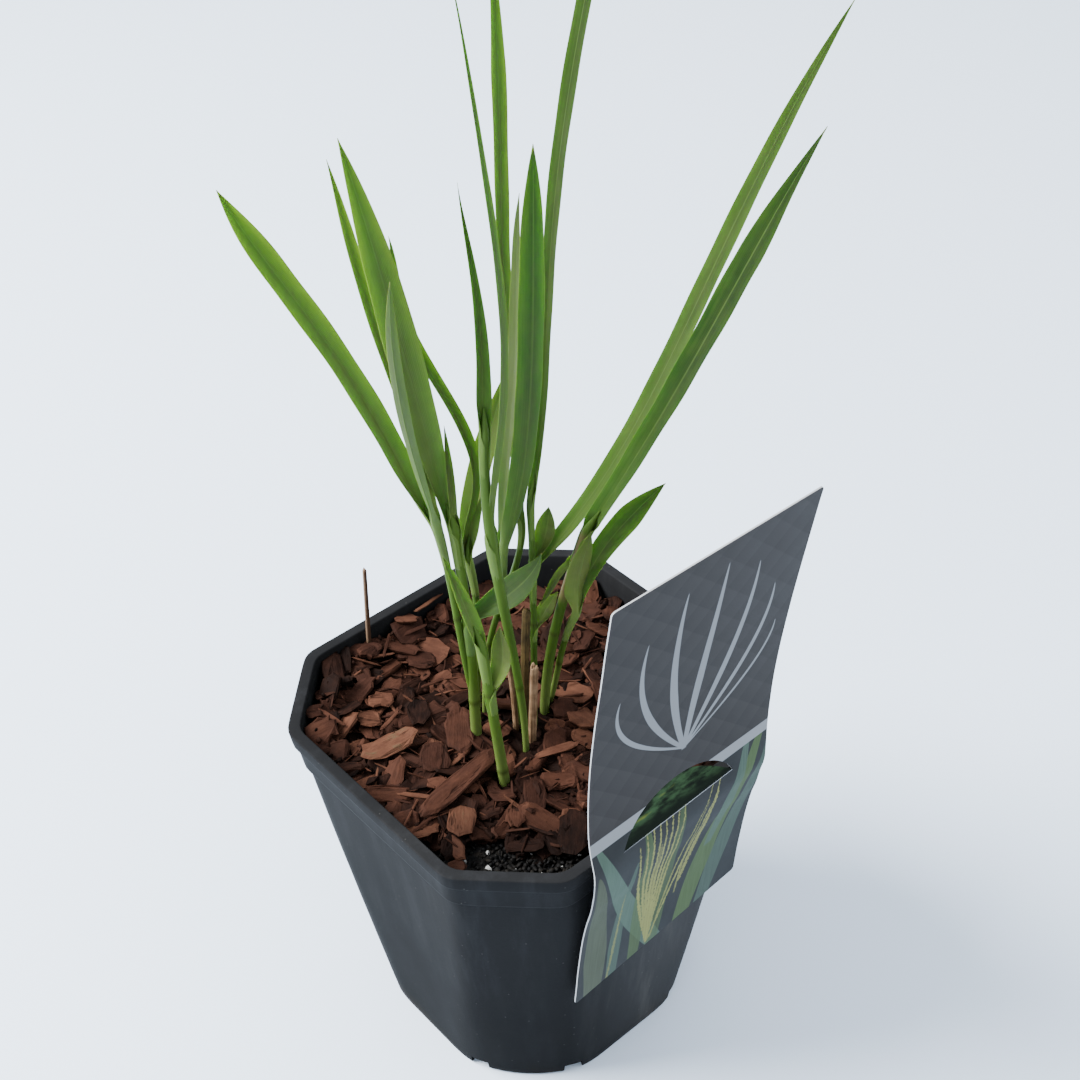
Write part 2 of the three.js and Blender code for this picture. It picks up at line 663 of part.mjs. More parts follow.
function buildLabel() {
  const halfWidth = (LABEL_RIGHT - LABEL_LEFT) / 2;
  const sheet = stripSolid(LABEL_STATIONS, LABEL_LEFT, LABEL_RIGHT, () => halfWidth);
  const opening = new THREE.Shape();
  opening.moveTo(-HANGER_WIDTH / 2, 0);
  opening.lineTo(HANGER_WIDTH / 2, 0);
  for (let step = 1; step < HANGER_STEPS; step += 1) {
    const angle = Math.PI * (step / HANGER_STEPS);
    const rise = HANGER_RISE * Math.sin(angle);
    opening.lineTo(Math.sign(Math.cos(angle)) * hangerHalf(rise), rise);
  }
  const cutter = new THREE.ExtrudeGeometry(opening, { depth: HANGER_RISE, bevelEnabled: false });
  cutter.rotateX(Math.PI / 2);
  cutter.translate(HANGER_MIDDLE, LABEL_AT_RIM + HANGER_RISE / 2, HANGER_FOOT + LABEL_THICKNESS / 2);
  const flapLeft = HANGER_MIDDLE - HANGER_WIDTH / 2;
  const flapHalf = (travelled) => Math.max(FLAP_TIP, hangerHalf(travelled));
  const flap = stripSolid(FLAP_STATIONS, flapLeft, flapLeft + HANGER_WIDTH, flapHalf);
  return toGeometry(sheet.subtract(toSolid(cutter)).add(flap));
}

// Room for the flap inside the rim.
function flapRoom() {
  const room = new THREE.BoxGeometry(...FLAP_ROOM);
  return toSolid(room.translate(HANGER_MIDDLE, FLAP_ROOM_AT[0], HANGER_FOOT + FLAP_ROOM_AT[1]));
}

// ---------------------------------------------------------------- the whole part

const holes = wasm.Manifold.union([...TILLERS, ...DEAD_CULMS].map(stemHole));
const plant = new THREE.Group();
plant.add(finishedMesh('pot', buildPot(), COLOURS.pot, 0.5));
plant.add(finishedMesh('potting_mix', buildMix(holes), COLOURS.mix, 0.95));
plant.add(finishedMesh('bark_mulch', buildMulch(holes.add(flapRoom())), COLOURS.bark, 0.85));
for (const tiller of TILLERS) plant.add(finishedMesh(tiller.name, buildShoot(tiller), COLOURS.leaf, 0.45));
for (const culm of DEAD_CULMS) {
  const colour = culm.name === 'cut_stub' ? COLOURS.tan : COLOURS.brown;
  plant.add(finishedMesh(culm.name, buildShoot(culm), colour, 0.7));
}
plant.add(finishedMesh('care_label', buildLabel(), COLOURS.label, 0.35));

export default plant;
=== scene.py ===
"""A young switchgrass in a square nursery pot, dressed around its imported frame.

Sizes are in millimetres and angles in degrees unless a name says otherwise. Headings are compass angles
from +X towards +Y, and leans are angles from upright. Everything is turned into metres as a mesh is made.
"""

import json
import logging
import math
from dataclasses import dataclass, field
from enum import Enum
from typing import Callable, Iterable, Optional, Sequence, Union

import bpy
import numpy as np
from mathutils import Matrix, Vector
from mathutils.geometry import delaunay_2d_cdt

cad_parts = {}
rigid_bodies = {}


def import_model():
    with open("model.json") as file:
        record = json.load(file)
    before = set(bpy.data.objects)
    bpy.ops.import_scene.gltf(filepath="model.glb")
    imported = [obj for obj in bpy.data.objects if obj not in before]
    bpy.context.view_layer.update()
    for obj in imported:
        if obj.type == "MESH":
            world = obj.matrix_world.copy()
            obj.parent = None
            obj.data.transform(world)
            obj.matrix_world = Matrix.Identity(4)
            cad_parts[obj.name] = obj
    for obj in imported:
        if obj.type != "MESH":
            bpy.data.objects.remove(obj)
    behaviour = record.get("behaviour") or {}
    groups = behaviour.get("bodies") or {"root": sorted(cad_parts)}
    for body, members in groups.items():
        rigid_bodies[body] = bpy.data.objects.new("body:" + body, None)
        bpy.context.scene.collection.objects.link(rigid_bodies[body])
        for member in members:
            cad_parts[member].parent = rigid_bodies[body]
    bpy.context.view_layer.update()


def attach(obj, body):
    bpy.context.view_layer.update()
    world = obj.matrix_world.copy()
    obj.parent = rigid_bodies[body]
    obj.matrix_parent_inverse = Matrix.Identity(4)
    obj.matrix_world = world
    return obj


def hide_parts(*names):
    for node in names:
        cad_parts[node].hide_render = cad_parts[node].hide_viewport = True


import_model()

MM = 0.001
BODY = "root"
SURFACE = 130.0
LOG = logging.getLogger("switchgrass")

Array = np.ndarray
Piece = bpy.types.Object
Inputs = dict[str, object]
Span = tuple[float, float]
Spot = tuple[float, float]
Triple = tuple[float, float, float]
Colour = Triple
Station = tuple[float, float, float, float]
Number = Union[float, "Signal"]


# ---------------- node graphs


def signs(operation: str) -> tuple[Callable[..., "Signal"], Callable[..., "Signal"]]:
    """The two methods for one sign of arithmetic: with the signal first, and with a number first."""
    return (
        lambda signal, other: signal.graph.math(operation, signal, other),
        lambda signal, other: signal.graph.math(operation, other, signal),
    )


class Signal:
    """A node's output, with the arithmetic that a finish is written in."""

    __add__, __radd__ = signs("ADD")
    __sub__, __rsub__ = signs("SUBTRACT")
    __mul__, __rmul__ = signs("MULTIPLY")
    __truediv__, __rtruediv__ = signs("DIVIDE")
    __pow__, __rpow__ = signs("POWER")

    def __init__(self, graph: "Graph", socket: bpy.types.NodeSocket) -> None:
        """Wraps one output socket of a graph."""
        self.graph = graph
        self.socket = socket

    def __abs__(self) -> "Signal":
        """The signal without its sign."""
        return self.graph.math("ABSOLUTE", self)


class Graph:
    """A shader or geometry node tree that is built by calls."""

    def __init__(self, tree: bpy.types.NodeTree) -> None:
        """Starts building in a tree."""
        self.tree = tree

    def add(
        self,
        kind: str,
        settings: Optional[Inputs] = None,
        inputs: Optional[dict[Union[int, str], object]] = None,
        output: Union[int, str] = 0,
    ) -> Signal:
        """Adds one node.

        Args:
            kind: The node's type.
            settings: The node's own settings, set first; "stops" holds a ramp's places and colours.
            inputs: Values or signals for its sockets, by name or place.
            output: The output to return, by name or place.

        Returns:
            The chosen output.
        """
        node = self.tree.nodes.new(kind)
        for name, value in (settings or {}).items():
            if name == "stops":
                self._set_stops(node.color_ramp, value)
            else:
                setattr(node, name, value)
        for key, value in (inputs or {}).items():
            socket = node.inputs[key]
            if isinstance(value, Signal):
                self.tree.links.new(value.socket, socket)
            elif socket.type == "RGBA" and len(value) == 3:
                socket.default_value = (*value, 1.0)
            else:
                socket.default_value = value
        return Signal(self, node.outputs[output])

    @staticmethod
    def _set_stops(ramp: bpy.types.ColorRamp, stops: Sequence[tuple[float, Colour]]) -> None:
        """Gives a colour ramp its stops."""
        while len(ramp.elements) < len(stops):
            ramp.elements.new(0.5)
        for element, (place, colour) in zip(ramp.elements, stops):
            element.position = place
            element.color = (*colour, 1.0)

    def math(self, operation: str, *values: Number) -> Signal:
        """Adds a Math node on one to three values."""
        return self.add("ShaderNodeMath", {"operation": operation}, dict(enumerate(values)))

    def clamp(self, value: Signal) -> Signal:
        """Keeps a signal between 0 and 1."""
        return self.add("ShaderNodeClamp", {}, {"Value": value}, "Result")

    def step(self, value: Signal, low: float, high: float) -> Signal:
        """A soft step from 0 at low to 1 at high; low may be the larger."""
        return self.add(
            "ShaderNodeMapRange",
            {"interpolation_type": "SMOOTHSTEP"},
            {"Value": value, "From Min": low, "From Max": high},
            "Result",
        )

    def place(self) -> Signal:
        """Where a point lies, in the piece's own metres."""
        return self.add("ShaderNodeTexCoord", {}, {}, "Object")

    def sheet(self, name: str) -> tuple[Signal, Signal]:
        """The two coordinates of a UV map."""
        return self.split(self.add("ShaderNodeUVMap", {"uv_map": name}))[:2]

    def attribute(self, name: str, output: str = "Fac") -> Signal:
        """A value stored on the mesh."""
        return self.add("ShaderNodeAttribute", {"attribute_name": name}, {}, output)

    def split(self, vector: Signal) -> tuple[Signal, Signal, Signal]:
        """The three numbers of a vector."""
        node = self.add("ShaderNodeSeparateXYZ", {}, {0: vector}).socket.node
        return tuple(Signal(self, socket) for socket in node.outputs)

    def join(self, x: Number, y: Number, z: Number = 0.0) -> Signal:
        """A vector from three numbers."""
        return self.add("ShaderNodeCombineXYZ", {}, {0: x, 1: y, 2: z})

    def vector(self, operation: str, first: object, second: object) -> Signal:
        """Adds a Vector Math node on two vectors."""
        return self.add("ShaderNodeVectorMath", {"operation": operation}, {0: first, 1: second})

    def noise(
        self, vector: Signal, scale: Union[float, Triple] = 1.0, detail: float = 3.0, rough: float = 0.55
    ) -> Signal:
        """Cloudy noise from 0 to 1, stretched where each direction has its own scale."""
        if isinstance(scale, tuple):
            vector, scale = self.vector("MULTIPLY", vector, scale), 1.0
        inputs = {"Vector": vector, "Scale": scale, "Detail": detail, "Roughness": rough}
        return self.add("ShaderNodeTexNoise", {}, inputs)

    def specks(self, vector: Signal, scale: float, radius: float) -> Signal:
        """Round specks, 1 inside a speck and 0 outside."""
        away = self.add("ShaderNodeTexVoronoi", {}, {"Vector": vector, "Scale": scale}, "Distance")
        return self.step(away, radius, radius * 0.6)

    def blend(self, share: Number, first: object, second: object) -> Signal:
        """Mixes two colours."""
        settings = {"data_type": "RGBA", "clamp_factor": True}
        return self.add("ShaderNodeMix", settings, {0: share, 6: first, 7: second}, 2)

    def tint(self, colour: object, strength: Signal) -> Signal:
        """A colour made lighter or darker by a signal about 1."""
        return self.vector("MULTIPLY", colour, self.join(strength, strength, strength))

    def ramp(self, value: Signal, stops: Sequence[tuple[float, Colour]]) -> Signal:
        """A colour picked from stops."""
        return self.add("ShaderNodeValToRGB", {"stops": stops}, {0: value})

    def bump(self, height: Signal, depth_mm: float, strength: float = 1.0) -> Signal:
        """A normal from a height signal of 0 to 1 that stands depth_mm high."""
        inputs = {"Height": height, "Distance": depth_mm * MM, "Strength": strength}
        return self.add("ShaderNodeBump", {}, inputs)


# ---------------- finishes


@dataclass(frozen=True)
class Finish:
    """A surface finish, which becomes one material however often it is asked for."""

    name: str

    def paint(self, graph: Graph) -> Inputs:
        """Builds what the shader takes; each finish has its own.

        Args:
            graph: The material's node tree.

        Returns:
            The shader's inputs, by name.
        """
        raise NotImplementedError

    def material(self) -> bpy.types.Material:
        """The finish as a material."""
        made = bpy.data.materials.get(self.name)
        if made:
            return made
        made = bpy.data.materials.new(self.name)
        made.use_nodes = True
        made.node_tree.nodes.clear()
        graph = Graph(made.node_tree)
        shader = graph.add("ShaderNodeBsdfPrincipled", {}, self.paint(graph))
        graph.tree.links.new(shader.socket, made.node_tree.nodes.new("ShaderNodeOutputMaterial").inputs[0])
        return made


@dataclass(frozen=True)
class MouldedPot(Finish):
    """Semi-matt charcoal plastic with a moulded grain, scuffs, a settled dusting, and painted sheen, fill
    light and shade.

    Spans are places in metres between which a part of the finish comes in: along x, along y - x or x - y,
    or up the wall.
    """

    name: str = "moulded_pot_plastic"
    base: Colour = (0.0105, 0.0108, 0.0116)
    # Paler plastic and dusting colours, used for real wear and for the painted sheen and fill light.
    worn_and_lit: Colour = (0.030, 0.0315, 0.0345)
    dust_and_fill_colour: Colour = (0.080, 0.078, 0.074)
    soil: Colour = (0.0200, 0.0160, 0.0120)
    # Places of the painted sheen, the painted fill light under the label, the rim, the soil, the painted
    # shade on the window side, and the darkening towards the foot.
    sheen_side: Span = (-0.035, -0.06)
    sheen_rise: Span = (0.0, 0.09)
    label_side: Span = (0.02, 0.075)
    label_foot: Span = (0.125, 0.1)
    rim: Span = (0.1406, 0.1413)
    soil_line: Span = (0.012, 0.0)
    window_side: Span = (0.02, 0.07)
    window_rise: Span = (0.08, 0.13)
    pale_rise: Span = (0.02, 0.11)

    def paint(self, graph: Graph) -> Inputs:
        """The shader's inputs, by name."""
        place = graph.place()
        x, y, z = graph.split(place)
        cloud = graph.noise(place, 22.0, 4.0)
        grain = graph.noise(place, 1500.0, 2.0)
        streak = graph.noise(place, (140.0, 140.0, 9.0), 4.0, 0.65)
        scratch = graph.noise(place, (60.0, 60.0, 900.0), 4.0, 0.7)
        # The window side's upper wall gets brighter streaks: painted sheen over real scuffs.
        sheen_and_scuffs = graph.step(x, *self.sheen_side) * graph.step(z, *self.sheen_rise)
        # The wall under the label is painted paler: painted fill light on a side in shade.
        painted_fill_light = graph.step(x - y, *self.label_side) * graph.step(z, *self.label_foot)
        scuffed = graph.step(scratch, 0.62, 0.76) * graph.step(cloud, 0.45, 0.65)
        streaked = graph.step(streak, 0.42, 0.75)
        # Real scuffs and streaks, the painted sheen and fill light, and a slightly paler rim top.
        wear_and_light = scuffed * 0.35 + streaked * (0.12 + sheen_and_scuffs * 0.12) + sheen_and_scuffs * 0.02
        wear_and_light = graph.clamp(wear_and_light + painted_fill_light + graph.step(z, *self.rim) * 0.04)
        soiled = graph.step(z, *self.soil_line) * graph.step(cloud, 0.42, 0.62) * 0.5
        # A dusting of clouds and specks, plus the painted fill light under the label.
        dust_and_fill_light = graph.step(cloud, 0.5, 0.85) * 0.05 + graph.specks(place, 230.0, 0.07) * 0.5
        dust_and_fill_light = graph.clamp(dust_and_fill_light + painted_fill_light * (0.16 + streaked * 0.3))
        # Painted shade on the window side's lower wall, painted fill light under the label, and the wall
        # darker towards its foot.
        lit = graph.step(y - x, *self.window_side) * (0.34 - graph.step(z, *self.window_rise) * 0.2)
        shade = 0.7 + graph.step(z, *self.pale_rise) * 0.36 + painted_fill_light * 0.12 - lit
        plastic = graph.tint(graph.blend(wear_and_light, self.base, self.worn_and_lit), shade)
        return {
            "Base Color": graph.blend(dust_and_fill_light, graph.blend(soiled, plastic, self.soil), self.dust_and_fill_colour),
            "Roughness": 0.34 + cloud * 0.16 + scuffed * 0.15 + dust_and_fill_light * 0.4,
            "Normal": graph.bump(grain * 0.55 + streak * 0.25 + scratch * 0.2, 0.09, 0.55),
            "Specular IOR Level": 0.004,
        }


@dataclass(frozen=True)
class DampMix(Finish):
    """Damp peat and bark fines, almost black, with wet glints."""

    name: str = "damp_potting_mix"
    dark: Colour = (0.0012, 0.0012, 0.0014)
    light: Colour = (0.009, 0.007, 0.005)

    def paint(self, graph: Graph) -> Inputs:
        """The shader's inputs, by name."""
        place = graph.place()
        lumps = graph.noise(place, 420.0, 5.0, 0.65)
        fibres = graph.noise(place, (300.0, 1100.0, 700.0))
        dry = graph.step(lumps * 0.6 + fibres * 0.4, 0.42, 0.72)
        return {
            "Base Color": graph.blend(dry, self.dark, self.light),
            "Roughness": 0.45 + lumps * 0.4,
            "Normal": graph.bump(lumps * 0.7 + fibres * 0.3, 0.9),
            "Specular IOR Level": 0.1,
        }


@dataclass(frozen=True)
class PineBark(Finish):
    """Pine bark flakes: red-brown layers with fibrous edges, each flake of its own tone, with painted shade
    on its sides and underside.
    """

    name: str = "pine_bark"
    tones: tuple[tuple[float, Colour], ...] = (
        (0.0, (0.0022, 0.0013, 0.0011)),
        (0.22, (0.0080, 0.0034, 0.0023)),
        (0.5, (0.0240, 0.0097, 0.0063)),
        (0.74, (0.0450, 0.0182, 0.0112)),
        (0.92, (0.0700, 0.0300, 0.0178)),
        (1.0, (0.0540, 0.0360, 0.0200)),
    )
    damp_corner: Span = (-0.045, -0.082)
    damp_side: Span = (0.06, 0.02)
    label_side: Span = (0.03, 0.06)
    underside: Span = (-0.5 * MM, 0.25 * MM)

    def paint(self, graph: Graph) -> Inputs:
        """The shader's inputs, by name. Damp darkens the bare corner, and the label's painted shadow darkens
        the bark under it.
        """
        tone = graph.attribute("tone")
        grain = graph.attribute("grain", "Vector")
        shifted = graph.vector("ADD", grain, graph.join(tone * 0.9, tone * 0.7, tone))
        along = graph.noise(shifted, (130.0, 900.0, 1400.0), 4.0, 0.6)
        patches = graph.noise(shifted, 190.0, 4.0, 0.6)
        cracks = graph.step(graph.noise(shifted, (90.0, 420.0, 500.0), 2.0), 0.40, 0.30)
        picked = graph.clamp(tone * 0.78 + patches * 0.42 + along * 0.22 - 0.2)
        # Each flake's sides and underside are painted darker: painted shade between the chips.
        upper = graph.step(graph.split(grain)[2], *self.underside)
        x, y, _ = graph.split(graph.place())
        # Darker in the bare front corner, where the bark is damp, and beside the label, as the label's
        # painted shadow.
        damp = graph.step(x + y, *self.damp_corner) * graph.step(y - x, *self.damp_side)
        damp = graph.clamp(damp + graph.step(x - y, *self.label_side) * 0.5)
        shade = (0.62 + along * 0.5 + patches * 0.25 - cracks * 0.45) * (0.3 + upper * 0.7)
        return {
            "Base Color": graph.tint(graph.ramp(picked, self.tones), shade * (1.06 - damp * 0.64)),
            "Roughness": 0.62 + patches * 0.25,
            "Normal": graph.bump(along * 0.5 + patches * 0.5 - cracks * 0.4, 0.7),
            "Specular IOR Level": 0.04,
        }


@dataclass(frozen=True)
class GrassBlade(Finish):
    """A living blade: fine lengthwise veins, a pale midrib and light coming through it, partly from the
    shader and partly painted on, paler towards the blade's foot.
    """

    name: str = "grass_blade"
    deep: Colour = (0.0104, 0.0200, 0.0068)
    bright: Colour = (0.0835, 0.1010, 0.0310)
    blue: Colour = (0.0600, 0.0900, 0.0440)
    pale: Colour = (0.0950, 0.1600, 0.0400)
    # A vivid green for the blade's lower half: painted light coming through it.
    lit_green: Colour = (0.0450, 0.1150, 0.0060)
    dry: Colour = (0.140, 0.120, 0.045)
    veins: float = 22.0

    def paint(self, graph: Graph) -> Inputs:
        """The shader's inputs, by name."""
        across, along = graph.sheet("blade")
        tone = graph.attribute("tone")
        bloom = graph.attribute("bloom")
        strands = graph.noise(graph.join(across * 60.0, along * 3.0, tone * 9.0), detail=2.0)
        clouds = graph.noise(graph.join(across * 2.0, along * 14.0, tone * 5.0))
        ridges = graph.math("SINE", across * (self.veins * 2.0 * math.pi)) * 0.5 + 0.5
        centre = abs(across - 0.5)
        rib = graph.step(centre, 0.045, 0.012)
        margin = graph.step(centre, 0.465, 0.5)
        picked = graph.clamp(tone + (clouds - 0.5) * 0.28 + (strands - 0.5) * 0.3)
        flesh = graph.blend(bloom, graph.blend(picked, self.deep, self.bright), self.blue)
        # Painted light: paler towards the foot and darker towards the tip, and paler still low down, for
        # light coming through the lower blade.
        lit = 1.62 - along * 1.06 + graph.step(along, 0.28, 0.04) * 0.35
        shaded = graph.tint(flesh, lit + ridges * 0.10 + (strands - 0.5) * 0.2)
        ribbed = graph.blend(rib * 0.25 + margin * 0.2, shaded, self.pale)
        # Painted light: the lower half is blended towards a vivid green.
        green_lit = graph.blend(graph.step(along, 0.5, 0.05) * 0.28, ribbed, self.lit_green)
        based = graph.blend(graph.step(along, 0.06, 0.0) * 0.45, green_lit, self.pale)
        tipped = graph.blend(graph.step(along, 0.975, 1.0) * 0.5, based, self.dry)
        return {
            "Base Color": tipped,
            "Roughness": 0.40 + strands * 0.14 + bloom * 0.12,
            "Normal": graph.bump(ridges * 0.6 + strands * 0.4 + rib * 0.5, 0.05, 0.6),
            "Specular IOR Level": 0.012,
            "Subsurface Weight": 0.35,
            "Subsurface Radius": (0.55, 0.9, 0.12),
            "Subsurface Scale": 0.0012,
        }


@dataclass(frozen=True)
class GrassStem(Finish):
    """A living stem in its sheaths: fine ribs, pale towards the ground, darker at its joints."""

    name: str = "grass_stem"
    green: Colour = (0.0560, 0.1050, 0.0130)
    deep: Colour = (0.0190, 0.0460, 0.0065)
    pale: Colour = (0.1200, 0.1600, 0.0430)
    joint: Colour = (0.0280, 0.0350, 0.0070)
    papery: Colour = (0.1300, 0.0880, 0.0420)

    def paint(self, graph: Graph) -> Inputs:
        """The shader's inputs, by name."""
        place = graph.place()
        tone = graph.attribute("tone")
        ribs = graph.noise(place, (2600.0, 2600.0, 25.0), 2.0)
        clouds = graph.noise(place, (260.0, 260.0, 60.0))
        picked = graph.clamp(tone + (clouds - 0.5) * 0.5 + (ribs - 0.5) * 0.35)
        green = graph.blend(picked, self.deep, self.green)
        rooted = graph.blend(graph.attribute("rooted") * 0.55, green, self.pale)
        jointed = graph.blend(graph.attribute("joint") * 0.7, rooted, self.joint)
        papered = graph.blend(graph.attribute("papery") * (0.45 + ribs * 0.5), jointed, self.papery)
        return {
            "Base Color": papered,
            "Roughness": 0.42 + ribs * 0.15,
            "Normal": graph.bump(ribs, 0.06, 0.5),
            "Specular IOR Level": 0.08,
            "Subsurface Weight": 0.25,
            "Subsurface Radius": (0.5, 0.8, 0.15),
            "Subsurface Scale": 0.0012,
        }


@dataclass(frozen=True)
class DryStraw(Finish):
    """Dead stem, sheath or twig, streaked along its length."""

    light: Colour
    dark: Colour

    def paint(self, graph: Graph) -> Inputs:
        """The shader's inputs, by name."""
        place = graph.place()
        ribs = graph.noise(place, (2200.0, 2200.0, 35.0))
        stains = graph.noise(place, 240.0, 4.0)
        picked = ribs * 0.5 + stains * 0.5 + (graph.attribute("tone") - 0.5) * 0.4
        return {
            "Base Color": graph.blend(graph.step(picked, 0.34, 0.66), self.dark, self.light),
            "Roughness": 0.6 + ribs * 0.2,
            "Normal": graph.bump(ribs * 0.7 + stains * 0.3, 0.22),
            "Specular IOR Level": 0.1,
        }


@dataclass(frozen=True)
class Perlite(Finish):
    """White puffed mineral, stained a little by the mix."""

    name: str = "perlite"
    clean: Colour = (0.30, 0.30, 0.29)
    stained: Colour = (0.10, 0.080, 0.060)

    def paint(self, graph: Graph) -> Inputs:
        """The shader's inputs, by name."""
        pits = graph.noise(graph.place(), 1600.0)
        return {
            "Base Color": graph.blend(graph.step(pits, 0.5, 0.7), self.clean, self.stained),
            "Roughness": 0.7 + pits * 0.2,
            "Normal": graph.bump(pits, 0.25),
            "Specular IOR Level": 0.2,
        }


@dataclass(frozen=True)
class PlainSheet(Finish):
    """The bare back and cut edges of the label's plastic sheet."""

    name: str = "bare_label_sheet"
    colour: Colour = (0.36, 0.37, 0.38)

    def paint(self, graph: Graph) -> Inputs:
        """The shader's inputs, by name."""
        cloud = graph.noise(graph.place(), 70.0)
        grain = graph.noise(graph.place(), 2400.0, 2.0)
        return {
            "Base Color": graph.tint(self.colour, 0.93 + cloud * 0.12),
            "Roughness": 0.40 + cloud * 0.12,
            "Normal": graph.bump(grain, 0.02, 0.4),
            "Specular IOR Level": 0.2,
        }


@dataclass(frozen=True)
class Stroke:
    """One tapering curved stroke of print: a blade, or a feathery plume where it is ragged.

    from_at and to_at are the two ends, as distances from the sheet's left edge and from its foot.
    """

    from_at: Spot
    to_at: Spot
    bow: float
    width: float
    colour: Colour
    ragged: float = 0.0
    strength: float = 1.0

    def mask(self, graph: Graph, across: Signal, up: Signal) -> Signal:
        """Where the stroke is printed.

        Args:
            graph: The material's node tree.
            across: Distances from the sheet's left edge.
            up: Distances from the sheet's foot.

        Returns:
            1 where it is printed in full, and 0 outside it.
        """
        (start_x, start_y), (end_x, end_y) = self.from_at, self.to_at
        share = (up - start_y) / (end_y - start_y)
        inside = graph.step(share, -0.01, 0.01) * graph.step(share, 1.01, 0.99)
        line = start_x + share * (end_x - start_x) + share * (1.0 - share) * (4.0 * self.bow)
        rest = graph.clamp(1.0 - share)
        half = rest**0.55 * graph.clamp(share * 1.5 + 0.45) * (self.width / 2.0)
        edge = abs(across - line)
        if self.ragged:
            tufts = graph.noise(graph.join(across * 1.6, up * 0.9, self.bow))
            edge = edge + (tufts - 0.5) * self.ragged
        return graph.step(edge - half, 0.12, -0.12) * inside * self.strength


@dataclass(frozen=True)
class PrintedSheet(Finish):
    """The label's printed face: a quilted dark ground, a pale band, and a plain study of grass below it.

    It carries no lettering and no device. A spray of pale strokes fills the upper ground.
    """

    name: str = "label_print"
    width: float = 80.0
    height: float = 194.0
    band_foot: float = 84.0
    band_top: float = 89.0
    blur: float = 0.1
    tile: float = 11.5
    ground: Colour = (0.0290, 0.0272, 0.0272)
    band: Colour = (0.190, 0.200, 0.210)
    picture: Colour = (0.0210, 0.0225, 0.0235)
    spray: tuple[Stroke, ...] = ()
    grasses: tuple[Stroke, ...] = ()

    def paint(self, graph: Graph) -> Inputs:
        """The shader's inputs, by name."""
        share_x, share_y = graph.sheet("sheet")
        across, up = share_x * self.width, share_y * self.height
        falling = graph.math("FRACT", (across + up) / self.tile + 20.0)
        rising = graph.math("FRACT", (across - up) / self.tile + 40.0)
        seam = graph.clamp(graph.step(falling, 0.07, 0.0) + graph.step(rising, 0.07, 0.0))
        upper = graph.tint(self.ground, 0.88 + falling * 0.16 + rising * 0.14 + seam * 0.16)
        for stroke in self.spray:
            upper = graph.blend(stroke.mask(graph, across, up), upper, stroke.colour)
        haze = graph.noise(graph.join(across * 0.07, up * 0.03), detail=2.0)
        lower = graph.tint(self.picture, 0.6 + haze * 0.9)
        streaks = graph.noise(graph.join(across * 1.4, up * 0.05))
        for stroke in self.grasses:
            colour = graph.tint(stroke.colour, 0.7 + streaks * 0.6)
            lower = graph.blend(stroke.mask(graph, across, up), lower, colour)
        for level, above in ((self.band_foot, self.band), (self.band_top, upper)):
            lower = graph.blend(graph.step(up, level - self.blur, level + self.blur), lower, above)
        smudge = graph.noise(graph.place(), 60.0)
        return {
            "Base Color": lower,
            "Roughness": 0.36 + smudge * 0.14,
            "Specular IOR Level": 0.03,
        }


@dataclass(frozen=True)
class ShadedFlapPrint(Finish):
    """The face of the folded flap: its print painted dark as shade under the label, near black at the fold,
    with leafy print and a few paler yellow-green spots away from it.
    """

    name: str = "label_flap_print_in_shade"
    dark: Colour = (0.004, 0.006, 0.005)
    leafy: Colour = (0.016, 0.034, 0.018)
    lit: Colour = (0.060, 0.080, 0.018)
    fold: Span = (-0.0715, -0.0665)

    def paint(self, graph: Graph) -> Inputs:
        """The shader's inputs, by name."""
        place = graph.place()
        # Near black at the fold and darkened leafy print beyond: painted shade under the label.
        inward = graph.step(graph.split(place)[1], *self.fold)
        leaves = graph.noise(place, (150.0, 420.0, 1.0), 4.0, 0.6)
        spots = graph.noise(place, (70.0, 420.0, 1.0), 2.0)
        leafy = graph.blend(graph.step(leaves, 0.35, 0.65) * inward, self.dark, self.leafy)
        return {
            "Base Color": graph.blend(graph.step(spots, 0.60, 0.74) * inward * 0.7, leafy, self.lit),
            "Roughness": 0.36 + leaves * 0.12,
            "Specular IOR Level": 0.004,
        }


@dataclass(frozen=True)
class PaleFloor(Finish):
    """A plain pale table top."""

    name: str = "pale_floor"
    colour: Colour = (0.70, 0.82, 0.97)

    def paint(self, graph: Graph) -> Inputs:
        """The shader's inputs, by name."""
        cloud = graph.noise(graph.place(), 3.0, 2.0)
        return {"Base Color": graph.tint(self.colour, 0.985 + cloud * 0.03), "Roughness": 0.6}


# ---------------- meshes


